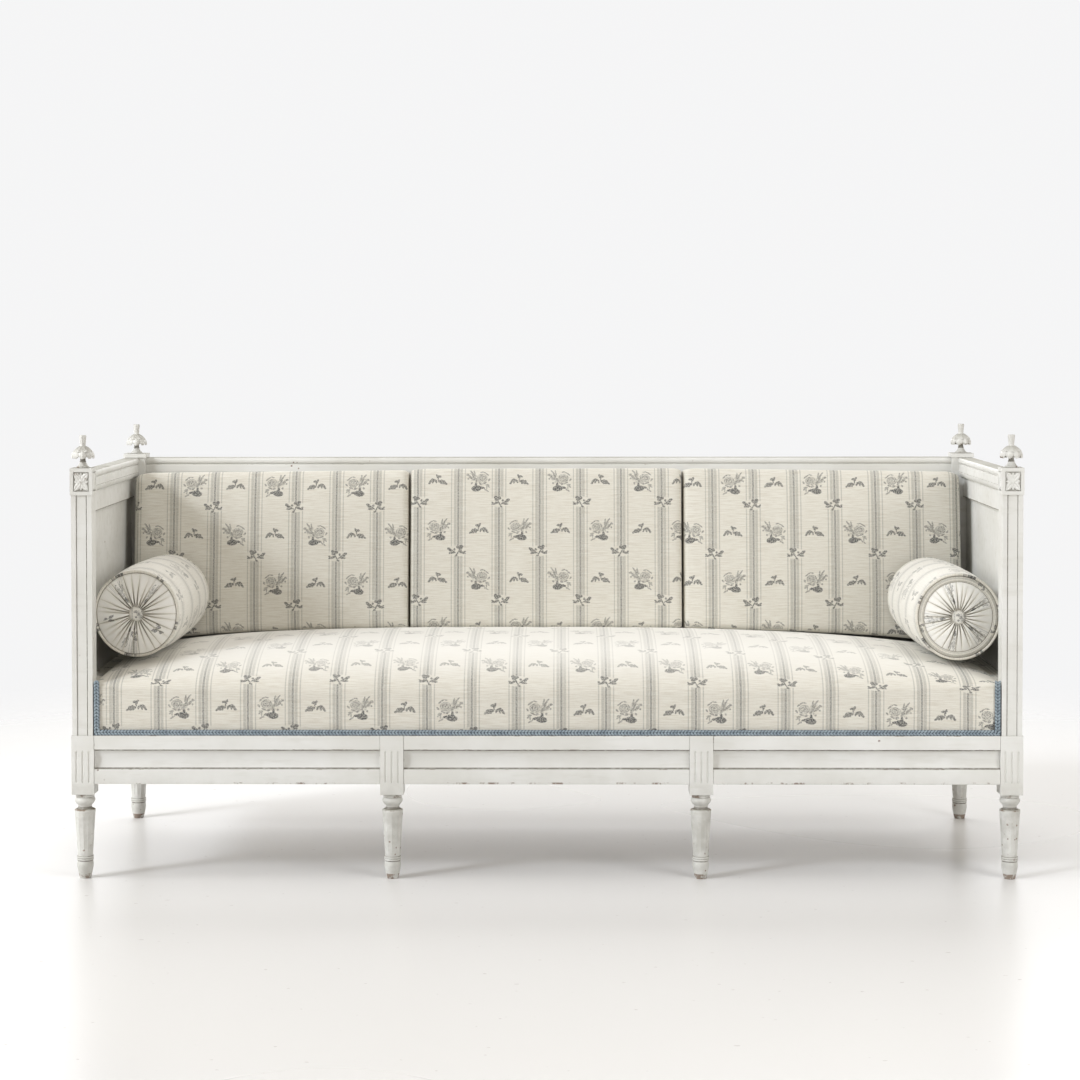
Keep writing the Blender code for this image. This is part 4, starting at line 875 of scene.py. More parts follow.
def ribbon(along, across, start, stop, at, phase, pitch, first):
    """A strap along one axis, waved with its crossings."""
    steps = int((stop - start) / STRAP_STEP)
    base = len(points)
    for i in range(steps + 1):
        run = start + (stop - start) * i / steps
        z = middle_z + sway * math.cos(math.pi * (run - first) / pitch + phase)
        for off, lift in ((-1, -1), (1, -1), (1, 1), (-1, 1)):
            point = Vector((0, 0, z + lift * STRAP_THICK / 2))
            point[along] = run
            point[across] = at + off * STRAP_WIDE / 2
            points.append(point)
    faces.extend(tuple(base + corner for corner in face) for face in tube(steps + 1, 4))


for i in range(CROSS_COUNT):
    ribbon(1, 0, web_low.y, web_high.y, cross_first + i * cross_pitch, math.pi * i, long_pitch, long_first)
for j in range(LONG_COUNT):
    ribbon(0, 1, web_low.x, web_high.x, long_first + j * long_pitch, math.pi * (j + 1), cross_pitch, cross_first)
webbing = piece("seat_webbing_straps", points, faces, smooth=False)
outward(webbing)
seated(webbing, "frame", "seat_webbing", jute)
print("straps:", CROSS_COUNT + LONG_COUNT, "with", len(faces), "faces")

# %% [markdown]
# ## The stuffed seat
# The seat is tight: its cover is pulled over a firm roll at the front and nailed under the braid. Its height over
# the floor is a formula of x and y, so a fine grid follows it exactly, and the front wall goes on down to the rail.
# A cover is never perfectly even, so slow noise takes up to a millimetre off it, and the cloth is drawn in a
# little where the braid holds it. The UV map is laid out by measuring along the cover from the braid upwards. The
# real cover isn't straight either: towards the right end its pattern is pulled down and outwards. The top is paler
# and its pattern fainter: it is faded from years of sitting, and a painted highlight adds to that.

# %% The form of the seat
SEAT_EDGE, SEAT_CROWN = rail_high.z + 0.107, 0.075
CROWN_BACK, ROLL, BACK_FALL, ROUND = 0.300, 2.2, 0.066, 0.026
END_ROLL = ((3.2, 0.5), (2.5, 0.60))  # the left end is fuller than the right one
SEAT_HALF = POST_INSIDE - 0.0003
NOTCH_FRONT, NOTCH_BACK = post_high.y + 0.0003, rear_low.y - 0.0003


def end_fall(x):
    """1 along the middle of the seat, falling to 0 at its ends."""
    roll, power = END_ROLL[x > 0]
    return max(0.0, 1 - min(1.0, abs(x) / SEAT_HALF) ** roll) ** power


def wall_top(x):
    return SEAT_EDGE - ROUND * end_fall(x)


def seat_height(x, y):
    crown_y, crown = seat_low.y + CROWN_BACK, SEAT_CROWN + ROUND
    if y < crown_y:
        near = min(1.0, 1 - (y - seat_low.y) / CROWN_BACK)
        swell = crown * max(0.0, 1 - near ** ROLL) ** (1 / ROLL)
    else:
        swell = crown - BACK_FALL * ((y - crown_y) / (seat_high.y - crown_y)) ** 2
    return wall_top(x) + swell * end_fall(x)


def uneven(x, y, z, size, depth):
    return depth * (noise.noise(Vector((x, y, z)) / size) - 1.0) / 2


print("seat crown at", round(seat_height(0.0, seat_low.y + CROWN_BACK), 4))

# %% Seat
COLUMNS, WALL_ROWS, TOP_ROWS = 220, 14, 84
SEAT_U = 0.0154 + 1.5 * PITCH
SEAT_V = ROW - (0.3574 - seat_low.z)
PULL = (-0.60, -0.30, 0.0, 0.45, 0.65, 0.82, 0.93), (0.0, 0.004, 0.009, 0.010, 0.014, 0.020, 0.025)
ASIDE, ASIDE_FROM, ASIDE_OVER = 0.009, 0.5, 0.46
FADE_AND_HIGHLIGHT_OVER = 0.055

spread = [2 * i / COLUMNS - 1 for i in range(COLUMNS + 1)]
xs = [SEAT_HALF * math.sin(math.pi / 2 * s) * 0.7 + SEAT_HALF * s * 0.3 for s in spread]
xs = [seat_low.x] + xs + [seat_high.x]
deep = seat_high.y - seat_low.y
ys = [seat_low.y + deep * (1 - math.cos(math.pi / 2 * j / TOP_ROWS)) for j in range(TOP_ROWS + 1)]
ys = [y for y in ys if abs(y - NOTCH_FRONT) > 0.001 and abs(y - NOTCH_BACK) > 0.001]
ys = sorted(set(ys + [NOTCH_FRONT, NOTCH_BACK]))
travel, last = 0.0, (ys[0], wall_top(0.0))
top_lengths = []
for y in ys:
    here = (y, seat_height(0.0, y))
    travel += math.hypot(here[0] - last[0], here[1] - last[1])
    last = here
    top_lengths.append(travel)

points, faces, flat = [], [], []
for x in xs:
    wall = wall_top(x) - seat_low.z
    u = x + SEAT_U - ASIDE * max(0.0, (x - ASIDE_FROM) / ASIDE_OVER) ** 2
    v = SEAT_V + float(np.interp(x, *PULL))
    for j in range(WALL_ROWS):
        rise = wall * j / WALL_ROWS
        z = seat_low.z + rise
        drawn = 0.0016 * math.exp(-((rise - 0.012) / 0.010) ** 2)
        drawn += 0.0007 * math.exp(-((rise - 0.016) / 0.016) ** 2) * noise.noise(Vector((x * 70, 0.0, 3.0)))
        points.append((x, seat_low.y + 0.0004 + drawn - uneven(x, 0.0, z, 0.10, 0.0010), z))
        flat.append((u, rise + v))
    for y, length in zip(ys, top_lengths):
        z = seat_height(x, y) - 0.0003 + uneven(x, y, 0.0, 0.11, 0.0011)
        near = math.exp(-((y - seat_low.y) / 0.020) ** 2)
        points.append((x, y + near * (0.0004 - uneven(x, 0.0, z, 0.10, 0.0010)), z))
        flat.append((u, wall + length + v))
stride = WALL_ROWS + len(ys)
for i in range(len(xs) - 1):
    between_posts = 0 < i < len(xs) - 2
    for j in range(stride - 1):
        k = j - WALL_ROWS
        if between_posts or (k >= 0 and ys[k] >= NOTCH_FRONT and ys[k + 1] <= NOTCH_BACK):
            a, b = i * stride + j, (i + 1) * stride + j
            faces.append((a, b, b + 1, a + 1))
seat = piece("seat_cover", points, faces)
laid_out(seat, flat)
with reshaped(seat.data) as shape:  # close the cover down to the rails and underneath
    rim = bmesh.ops.extrude_edge_only(shape, edges=[e for e in shape.edges if e.is_boundary])
    for item in rim["geom"]:
        if isinstance(item, bmesh.types.BMVert):
            item.co.z = seat_low.z
    bmesh.ops.remove_doubles(shape, verts=shape.verts, dist=2e-5)
    bmesh.ops.delete(shape, geom=[v for v in shape.verts if not v.link_faces], context="VERTS")
    bmesh.ops.holes_fill(shape, edges=[e for e in shape.edges if e.is_boundary], sides=0)
    bmesh.ops.recalc_face_normals(shape, faces=shape.faces)
    open_edges = sum(1 for e in shape.edges if not e.is_manifold)
# the top is paler with fainter ink: fading and a painted highlight
numbered(seat, "faded_and_highlit", [max(0.0, min(1.0, (v.co.z - SEAT_EDGE) / FADE_AND_HIGHLIGHT_OVER)) for v in seat.data.vertices])
seat.data.shade_smooth()
seat.data.set_sharp_from_angle(angle=math.radians(50))
seated(seat, "frame", "seat_upholstery", cloth)
print("seat:", len(seat.data.polygons), "faces, open edges:", open_edges)

# %% [markdown]
# ## Back cushions
# Three firm cushions lean against the back. Each is a loft of rounded sections in even squares of about 9 mm, so
# that cloth can bend anywhere. A cloth simulation then blows it up with a little pressure. Left alone, pressure
# swells the faces far too much and pulls the outline in, so only the forward bulge is kept, scaled to 10 mm, and
# the seams stay where the photograph shows them.

# %% Cushion shapes
LEAN = math.radians(7)
CUSHION_OUT = Vector((0, math.cos(LEAN), -math.sin(LEAN)))
CUSHION_UP = Vector((0, math.sin(LEAN), math.cos(LEAN)))
CORNER_STEPS = 4


def rounded_rectangle(wide, high, radius, step):
    """Points at even steps round a rectangle with round corners, from the middle of its lower side."""
    corners = ((wide / 2 - radius, -high / 2 + radius, -90), (wide / 2 - radius, high / 2 - radius, 0),
               (-wide / 2 + radius, high / 2 - radius, 90), (-wide / 2 + radius, -high / 2 + radius, 180))
    outline = [(0.0, -high / 2)]
    for cx, cy, start in corners:
        for k in range(CORNER_STEPS + 1):
            angle = math.radians(start + 90 * k / CORNER_STEPS)
            outline.append((cx + radius * math.cos(angle), cy + radius * math.sin(angle)))
    outline.append((0.0, -high / 2))
    around = [0.0]
    for a, b in zip(outline, outline[1:]):
        around.append(around[-1] + math.hypot(b[0] - a[0], b[1] - a[1]))
    count = 2 * round(around[-1] / step / 2)
    evened = []
    for i in range(count):
        s = around[-1] * i / count
        k = max(k for k in range(len(around) - 1) if around[k] <= s + 1e-12)
        t = (s - around[k]) / max(1e-9, around[k + 1] - around[k])
        evened.append((outline[k][0] + t * (outline[k + 1][0] - outline[k][0]),
                       outline[k][1] + t * (outline[k + 1][1] - outline[k][1])))
    return evened


# %% [markdown]
# The cushions' lower edges must follow the crowned seat, so the loft's sections are measured from the CAD cushion:
# rays find where it starts and ends at each station. The simulation needs no remeshing because the loft is already
# made of even squares, and so the UV map survives.

# %% Lofting and puffing the cushions
CUSHION_STEP = 0.009
CUSHION_THICK, CUSHION_RADIUS = 0.0915, 0.017
END_LENGTH, END_DRAW = 0.012, 0.008
OUTER_LENGTH, OUTER_DRAW, OUTER_FROM = 0.032, 0.020, 0.6
BACK_DRAW, BACK_LENGTH, BACK_FROM = 0.017, 0.035, 0.8  # room for the rear posts behind the outer ends
SEAMS = {"left": (-0.9415, -0.3150), "centre": (-0.3134, 0.3050), "right": (0.3066, 0.9375)}
SAG = {"left": (0.011, 0.005), "centre": (0.002, 0.001), "right": (0.001, 0.009)}
# where the pattern starts: along the cloth, the height of a row of motifs, and which row that is
CUSHION_PATTERN = {"left": (0.6171 + 1.5 * PITCH, 0.7735, 1), "centre": (-0.0276 + 0.5 * PITCH, 0.7850, 0),
                   "right": (-0.6031 + 1.5 * PITCH, 0.7782, 1)}
PUFF, PRESSURE, FRAMES = 0.0100, 1.6, 18


def cushion(place):
    """A cushion's cover: sections through it, measured from the CAD cushion and joined with squares."""
    node = f"back_cushion_{place}"
    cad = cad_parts[node].data
    low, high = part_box(node)
    solid = BVHTree.FromPolygons([v.co for v in cad.vertices], [p.vertices for p in cad.polygons])
    start, stop = SEAMS[place]
    middle, half = (start + stop) / 2, (stop - start) / 2
    centre = (low + high) / 2
    stations = 2 * round(half / CUSHION_STEP)
    count = 2 * round((high.z - low.z + CUSHION_THICK) / CUSHION_STEP)
    points, flat, faces = [], [], []
    for i in range(stations + 1):
        t = 2 * i / stations - 1
        x = middle + half * t
        probe = Vector((max(low.x + 0.012, min(high.x - 0.012, x)), centre.y, centre.z))
        up, down = (solid.ray_cast(probe, way)[3] - 0.002 for way in (CUSHION_UP, -CUSHION_UP))
        down += seat_height(-abs(x), centre.y) - seat_height(x, centre.y)
        up -= SAG[place][0] + (SAG[place][1] - SAG[place][0]) * (t + 1) / 2
        length, depth = (END_LENGTH, END_DRAW) if abs(x) < OUTER_FROM else (OUTER_LENGTH, OUTER_DRAW)
        end = max(0.0, 1 - (1 - abs(t)) * half / length)
        draw = depth * (1 - math.sqrt(max(0.0, 1 - end * end)))
        outer = POST_INSIDE - 0.003 - abs(x)
        behind = BACK_DRAW * min(1.0, max(0.0, 1 - outer / BACK_LENGTH)) ** 2 if abs(x) > BACK_FROM else 0.0
        wide, tall = CUSHION_THICK - 2 * draw - behind, up + down - 0.5 * draw
        radius = CUSHION_RADIUS - 0.5 * draw
        around = 2 * (wide + tall) - (8 - 2 * math.pi) * radius
        for a, b in rounded_rectangle(wide, tall, radius, around / count)[:count]:
            a, b = a - behind / 2, b + (up - down - 0.5 * draw) / 2
            points.append(Vector((x, centre.y, centre.z)) + CUSHION_OUT * a + CUSHION_UP * b)
            flat.append((x, a, b))
    for i in range(stations):
        for k in range(count):
            n = (k + 1) % count
            a, b = i * count, (i + 1) * count
            faces.append((a + k, b + k, b + n, a + n))
    for base in (0, stations * count):
        for k in range(count // 2 - 1):
            faces.append((base + k, base + k + 1, base + (count - k - 2) % count, base + (count - k - 1) % count))
    made = piece(f"{node}_cover", points, faces)
    outward(made)
    spread_out(made, flat, middle, half, centre.z, CUSHION_PATTERN[place])
    return made


def spread_out(made, flat, middle, half, centre_z, pattern):
    """The UV map of a cushion: the cloth runs up its face, over its top and down its back."""
    layer = made.data.uv_layers.new(name="cloth")
    u0, row_z, row = pattern
    row_b = (row_z - centre_z) / math.cos(LEAN)
    top, bottom = max(b for _, _, b in flat), min(b for _, _, b in flat)
    for face in made.data.polygons:
        out, up, side = face.normal.dot(CUSHION_OUT), face.normal.dot(CUSHION_UP), face.normal.x
        for corner in face.loop_indices:
            x, a, b = flat[made.data.loops[corner].vertex_index]
            deep = a + CUSHION_THICK / 2
            if abs(side) > max(abs(out), abs(up)):
                spot = (middle + math.copysign(half + deep, side), b)
            elif abs(up) > abs(out):
                spot = (x, top + deep if up > 0 else bottom - deep)
            elif out > 0:
                spot = (x, top + CUSHION_THICK + (top - b))
            else:
                spot = (x, b)
            layer.data[corner].uv = (spot[0] + u0, spot[1] - row_b + row * ROW)


def puffed(made):
    """Blow a cover up as cloth, and keep a limited share of its forward bulge."""
    start = np.array([v.co for v in made.data.vertices])
    modifier = made.modifiers.new("cloth", "CLOTH")
    settings = modifier.settings
    settings.quality = 5
    settings.mass = 0.25
    settings.tension_stiffness = settings.compression_stiffness = 18
    settings.shear_stiffness = 6
    settings.bending_stiffness = 1.2
    settings.use_pressure = True
    settings.uniform_pressure_force = PRESSURE
    settings.effector_weights.gravity = 0.0
    modifier.collision_settings.use_collision = False
    scene = bpy.context.scene
    for step in range(1, FRAMES + 1):
        scene.frame_set(step)
    graph = bpy.context.evaluated_depsgraph_get()
    after = np.array([v.co for v in made.evaluated_get(graph).data.vertices])
    made.modifiers.clear()
    scene.frame_set(1)
    forward = -(after - start) @ np.array(CUSHION_OUT)
    kept = np.maximum(forward, 0.0) * min(1.0, PUFF / forward.max())
    ended = start - np.outer(kept, np.array(CUSHION_OUT))
    made.data.vertices.foreach_set("co", ended.ravel())
    made.data.update()
    return float(forward.max()), float(kept.max())


def drawn_to(made, start, stop):
    """Stretch a cover along X so that it reaches from seam to seam again."""
    spots = np.array([point.co for point in made.data.vertices])
    low, high = spots[:, 0].min(), spots[:, 0].max()
    spots[:, 0] = start + (spots[:, 0] - low) * (stop - start) / (high - low)
    made.data.vertices.foreach_set("co", spots.ravel())
    made.data.update()


for place in PLACES:
    made = cushion(place)
    moved = puffed(made)
    smooth = made.modifiers.new("fine", "SUBSURF")
    smooth.levels = smooth.render_levels = 1
    drawn_to(settled(made), *SEAMS[place])
    seated(made, f"back_cushion_{place}", f"back_cushion_{place}", cloth)
    print(f"cushion {place}:", len(made.data.polygons), "faces, moved up to", [round(m * 1000, 1) for m in moved], "mm")

# %% [markdown]
# ## Bolsters
# A bolster is a long roll with a gathered end: a strip of cloth is drawn together by a thread, so it falls in
# pleats towards a covered button. The pleats are made with a formula: round ridges with sharp creases between
# them, deep near the button and fading towards the piped rim. Each crease has its own place, depth and length
# from a fixed seed. The ridges get a painted highlight, and the creases and the groove by the piping get painted
# shade. In the UV map an end is cut into sectors: most lie on plain ground, and a few lie on a stripe or a flower,
# which the gathers squeeze towards the middle. The right bolster also has a flat ring of striped cloth round its
# gathers. Both rolls lie a little askew, with their rear ends nearer to the middle of the sofa, and the cloth round
# them is faded and paled further by a painted highlight.

# %% The ends of the bolsters
PLEATS = 30
RIM, BODY_RADIUS, GATHER_START = 0.0880, 0.0940, 0.0150
PIPE, PIPE_STEPS = 0.0026, 8
SWELL, DIMPLE, END_ROWS = 0.0060, 0.002, 25
BAND = {"left": 0.0, "right": 0.0115}  # a flat strip of striped cloth outside the gathers
SEEDS = {"left": {-1: 11, 1: 31}, "right": {-1: 23, 1: 47}}
PLAIN = (PITCH / 2, 0.0625)
STRIPE_AT, FLOWER_AT, LEAVES_AT = (0.0, 0.020), (PITCH / 2, -0.052), (PITCH / 2, ROW - 0.055)
# sectors in degrees: middle, half width, place on the cloth, squeeze
SECTORS = {"left": ((124, 12, FLOWER_AT, 2.1), (53, 7, FLOWER_AT, 3.2), (190, 8, LEAVES_AT, 1.8),
                    (266, 10, STRIPE_AT, 1.2), (249, 6, FLOWER_AT, 3.2), (324, 12, LEAVES_AT, 1.2)),
           "right": ((108, 10, FLOWER_AT, 2.4), (29, 11, FLOWER_AT, 2.3), (186, 13, FLOWER_AT, 2.1),
                     (319, 15, FLOWER_AT, 1.9), (258, 9, FLOWER_AT, 2.7))}


def creases(seed):
    chance = random.Random(seed)
    places = [2 * math.pi * (k + chance.uniform(-0.30, 0.30)) / PLEATS for k in range(PLEATS)]
    return [(place, chance.uniform(0.45, 1.0), chance.uniform(0.75, 1.7)) for place in places]


def pleat_depth(turn, share, radius, marks):
    """How deep the gathered cloth lies in a crease, from 0 to 1, and how near the next crease is."""
    deep, nearest = 0.0, 1.0
    for place, depth, reach in marks:
        off = abs((turn - place + math.pi) % (2 * math.pi) - math.pi)
        nearest = min(nearest, off * PLEATS / math.pi)
        fade = max(0.0, 1 - share / reach) ** 0.7
        width = (0.0005 + 0.0006 * fade) / radius
        if off < 4 * width:
            deep = max(deep, depth * fade * math.exp(-(off / width) ** 1.5))
    return deep, nearest


def end_profile(band):
    """An end from the button outwards: radius, how far it stands out, share of the way, and kind of row."""
    rows = []
    for k in range(END_ROWS + 1):
        share = k / END_ROWS
        radius = GATHER_START + (RIM - band - 0.0054 - GATHER_START) * share
        swell = SWELL * math.sin(math.pi * min(1.0, 0.10 + 0.90 * share) ** 0.85) ** 0.9
        fall = DIMPLE * (1 - min(1.0, share / 0.16)) ** 2
        rows.append((radius, swell - fall, share, "end"))
    if band:
        rows += [(RIM - band - 0.0048, -0.0008, 1, "groove"), (RIM - band - 0.0038, 0.0012, 1, "band"),
                 (RIM - 0.0105, 0.0016, 1, "band"), (RIM - 0.0064, 0.0012, 1, "band"),
                 (RIM - 0.0053, 0.0002, 1, "band")]
    rows.append((RIM - 0.0043, -0.0026, 1, "groove"))
    for k in range(PIPE_STEPS + 1):
        angle = math.radians(200 - 250 * k / PIPE_STEPS)
        rows.append((RIM - 0.0012 + PIPE * math.cos(angle), PIPE * math.sin(angle), 1, "pipe"))
    return rows


def degrees_off(turn, angle):
    return (math.degrees(turn) - angle + 180) % 360 - 180


def end_place(side, turn):
    """How the sector of an end at a turn lies on the flat cloth, as a function of turn and radius."""
    for angle, half, (u, v), squeeze in SECTORS[side]:
        if abs(degrees_off(turn, angle)) <= half:
            return lambda t, r: (u + math.radians(degrees_off(t, angle)) * RIM * squeeze, v + r)
    return lambda t, r: (PLAIN[0] + (r - 0.05) * 0.5, PLAIN[1] + 0.018 * math.asin(math.sin(5 * t)))


print("rows of an end:", {side: len(end_profile(band)) for side, band in BAND.items()})

# %% Bolsters
AROUND, BODY_ROWS = 648, 44
END_ROOM = 0.0122  # the rims lie this far inside the ends of the CAD bolster's box
TALLER = 1.02
TURNED_IN = 0.008  # how much nearer to the middle the rear end lies
LIFT = {"left": 0.0030, "right": -0.0040}
TWIST = {"left": 0.35, "right": 1.10}
AXIS_U = {"left": 0.0, "right": 0.031}
WORN_AND_HIGHLIT, RIDGE_HIGHLIGHT = 0.60, 0.85


def gathered(turn, share, radius, outwards, marks):
    """How far a point of a gathered end stands out from the smooth form, and how much painted shade it gets."""
    deep, beside = pleat_depth(turn, share, radius, marks)
    out = 0.0034 * (1 - share) ** 0.9 * math.sqrt(beside * (2 - beside))
    out -= deep * (0.0050 * (1 - share) ** 0.8 + 0.0006)
    out += 0.0008 * noise.noise(Vector((turn * 5, share * 4, outwards * 9.0))) * share * (1 - share) * 4
    return out, max(deep, 0.34 * (1 - beside) ** 1.6 * (1 - 0.85 * share))


def sunk(turn, y, along):
    """How far the cover of the roll lies below its smooth form, with small pleats near both ends."""
    slow = 0.0009 * (1 + noise.noise(Vector((math.cos(turn) * 1.6, math.sin(turn) * 1.6, y * 14))))
    ripple = 0.5 + 0.5 * math.sin(turn * 23 + 3 * noise.noise(Vector((turn, y * 5, 2.0))))
    return slow + 0.0007 * max(0.0, math.cos(along * 2 * math.pi)) * ripple


def bolster(side, way):
    node = f"bolster_{side}"
    low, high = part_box(node)
    centre = (low + high) / 2 + Vector((0, 0, LIFT[side]))
    near, far = low.y + END_ROOM, high.y - END_ROOM
    length = far - near
    end = end_profile(BAND[side])
    rows = [(radius, near - out, share, kind, -1) for radius, out, share, kind in end]
    for k in range(1, BODY_ROWS):
        share = k / BODY_ROWS
        radius = RIM + (BODY_RADIUS - RIM) * math.sin(math.pi * share) ** 0.5
        rows.append((radius, near + 0.002 + (length - 0.004) * share, 1, "body", 0))
    rows += [(radius, far + out, share, kind, 1) for radius, out, share, kind in reversed(end)]
    marks = {outwards: creases(seed) for outwards, seed in SEEDS[side].items()}
    points, flat, fold_shades_and_highlights = [], [], []
    for radius, y, share, kind, outwards in rows:
        for i in range(AROUND):
            turn = 2 * math.pi * i / AROUND
            arc = (turn + TWIST[side]) * RIM
            reach, place, fold_shade_and_highlight = radius, y, 0.0
            if kind == "end":
                out, deep = gathered(turn, share, radius, outwards, marks[outwards])
                place += outwards * out
                # painted shade in and between the creases, and a painted highlight on the ridges
                fold_shade_and_highlight = deep - RIDGE_HIGHLIGHT * (1 - min(1.0, 4 * deep))
                flat.append((turn, radius))
            elif kind == "body":
                reach -= sunk(turn, y, (y - near) / length)
                flat.append((y + AXIS_U[side], arc))
            elif kind == "band":
                flat.append((PITCH - 0.018 + (radius - RIM + 0.0155) * 1.5, arc))
            else:
                # the groove by the piping gets full painted shade
                fold_shade_and_highlight = 1.0 if kind == "groove" else 0.0
                flat.append((PITCH * 0.5 + 0.004 * outwards, arc))
            shift = -way * TURNED_IN * (place - near) / length
            points.append((centre.x + shift + reach * math.cos(turn), place,
                           centre.z + TALLER * reach * math.sin(turn)))
            fold_shades_and_highlights.append(fold_shade_and_highlight)
    made = piece(f"{node}_cover", points, tube(len(rows), AROUND))
    kinds = [row[3] for row in rows]
    wrapped(made, side, kinds, flat)
    outward(made)
    # painted shade in creases and grooves, painted highlight on ridges
    numbered(made, "fold_shade_and_highlight", fold_shades_and_highlights)
    # the body of the roll is paler with fainter stripes: fading and a painted highlight
    numbered(made, "faded_and_highlit", [WORN_AND_HIGHLIT if kind == "body" else 0.0 for kind in kinds for _ in range(AROUND)])
    made.data.shade_smooth()
    seated(made, node, node, cloth)
    return made


def wrapped(made, side, kinds, flat):
    """The UV map of a bolster: its ends lie in sectors, and the rest is unrolled with one seam."""
    layer = made.data.uv_layers.new(name="cloth")
    for face in made.data.polygons:
        owners = [made.data.loops[c].vertex_index for c in face.loop_indices]
        turns = [owner % AROUND for owner in owners]
        at_seam = len(owners) == 4 and max(turns) - min(turns) > 1
        spread = end_place(side, 2 * math.pi * (turns[0] + 0.5) / AROUND)
        for corner, owner in zip(face.loop_indices, owners):
            a, b = flat[owner]
            if kinds[owner // AROUND] == "end":
                a, b = spread(a, b)
            elif at_seam and owner % AROUND == 0:
                b += 2 * math.pi * RIM
            layer.data[corner].uv = (a, b)


for side, way in SIDES:
    made = bolster(side, way)
print("bolster:", len(made.data.polygons), "faces,", PLEATS, "pleats at each end")

# %% [markdown]
# ## Covered buttons
# Each gathered end is closed by a button covered with the same cloth. It is a low dome, and its edge tucks in
# behind the pleats.

# %% Buttons
BUTTON_TURNS, CRUMPLE = 48, 0.0004
BUTTON_OUTLINE = ((0.90, 0.0), (0.97, 0.10), (1.0, 0.24), (0.97, 0.42), (0.88, 0.64), (0.72, 0.82), (0.5, 0.93),
                  (0.25, 0.985), (0.06, 1.0))  # shares of its radius and thickness


def button(node, side, way, inwards):
    low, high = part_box(node)
    centre = (low + high) / 2 + Vector((inwards, 0, LIFT[side]))
    radius, thick = (high.x - low.x) / 2, high.y - low.y
    foot = high.y if way < 0 else low.y
    points, flat = [], []
    for share, rise in BUTTON_OUTLINE:
        for i in range(BUTTON_TURNS):
            turn = 2 * math.pi * i / BUTTON_TURNS
            x, z = radius * share * math.cos(turn), radius * share * math.sin(turn)
            crumple = CRUMPLE * noise.noise(Vector((x * 160, z * 160, 5.0 + way)))
            points.append((centre.x + x, foot + way * (thick * rise + crumple * share), centre.z + z))
            flat.append((0.8 * x + PITCH / 2 - 0.024, 0.8 * z + 0.010))
    made = piece(node + "_cover", points, tube(len(BUTTON_OUTLINE), BUTTON_TURNS))
    laid_out(made, flat)
    outward(made)
    # the button is painted paler, a painted highlight
    numbered(made, "fold_shade_and_highlight", [-0.5] * len(points))
    made.data.shade_smooth()
    return seated(made, f"bolster_{side}", node, cloth)


for side, way in SIDES:
    button(f"bolster_button_front_{side}", side, -1, 0.0)
    made = button(f"bolster_button_rear_{side}", side, 1, -way * TURNED_IN)
print("buttons of", len(made.data.polygons), "faces")

# %% [markdown]
# ## The braid
# A blue-grey plaited braid covers the nails along the lower edge of the seat and beside both posts. A plait is a
# row of short tilted tufts, with a second row tilted the other way. Geometry Nodes walks along a path, sets a tuft
# at even steps and turns it with the path, so the braid goes round its corners by itself.

# %% Braid material
thread, tree, shader = material("braid")
where = position(tree)
tone = speckle(tree, where, 55.0, 3.0, 0.6)
strand = speckle(tree, where, 900.0, 2.0, 0.6)
colour = blend(tree, remap(tree, tone, 0.35, 0.68), (0.285, 0.350, 0.395, 1), (0.185, 0.240, 0.285, 1))
colour = blend(tree, remap(tree, strand, 0.45, 0.75, 0.0, 0.5), colour, (0.53, 0.59, 0.62, 1))
# painted shade: the flat band behind the tufts is painted nearly black, as the shade in the gaps between them
gap_shade = maths(tree, "MULTIPLY", attribute(tree, "edge"), 0.85)
colour = blend(tree, gap_shade, colour, (0.030, 0.045, 0.065, 1))
feed(tree, shader, {"Base Color": colour, "Roughness": remap(tree, strand, 0.3, 0.7, 0.6, 0.85),
                    "Sheen Weight": 0.2, "Normal": bump(tree, strand, 0.5, 0.0004)})
print("braid material:", len(tree.nodes), "nodes")

# %% Braid
BRAID_WIDE, BRAID_STEP, BRAID_TILT = 0.0115, 0.0068, 0.62
TUFT_AROUND, TUFT_RINGS = 8, 5


def walk_group(name, source, look):
    """A node group that sets copies of an object at even steps along a path of edges."""
    group, given, ids = node_group(name, step="NodeSocketFloat", tilt="NodeSocketFloat")
    curve = add(group, "GeometryNodeMeshToCurve", {0: given["Geometry"]}).outputs[0]
    even = add(group, "GeometryNodeResampleCurve", {"Curve": curve, "Length": given["step"]}, mode="LENGTH")
    way = add(group, "GeometryNodeInputTangent").outputs[0]
    aim = add(group, "FunctionNodeAlignRotationToVector", {"Vector": way}, axis="X", pivot_axis="Y").outputs[0]
    lean = add(group, "FunctionNodeAxisAngleToRotation", {"Axis": (0, 1, 0), "Angle": given["tilt"]}).outputs[0]
    turn = add(group, "FunctionNodeRotateRotation", {"Rotation": aim, "Rotate By": lean}, rotation_space="LOCAL")
    set_copies(group, even.outputs[0], turn.outputs[0], source, look)
    return group, ids


def tuft(length, wide, thick):
    """A low lens of a few dozen faces, along X with its flat side to the back."""
    points = []
    for k in range(TUFT_RINGS):
        t = -0.92 + 1.84 * k / (TUFT_RINGS - 1)
        swell = math.sqrt(1 - t * t)
        for i in range(TUFT_AROUND):
            turn = 2 * math.pi * i / TUFT_AROUND
            points.append((length / 2 * t, thick / 2 * swell * math.sin(turn), wide / 2 * swell * math.cos(turn)))
    made = piece("tuft", points, tube(TUFT_RINGS, TUFT_AROUND))
    outward(made)
    return made


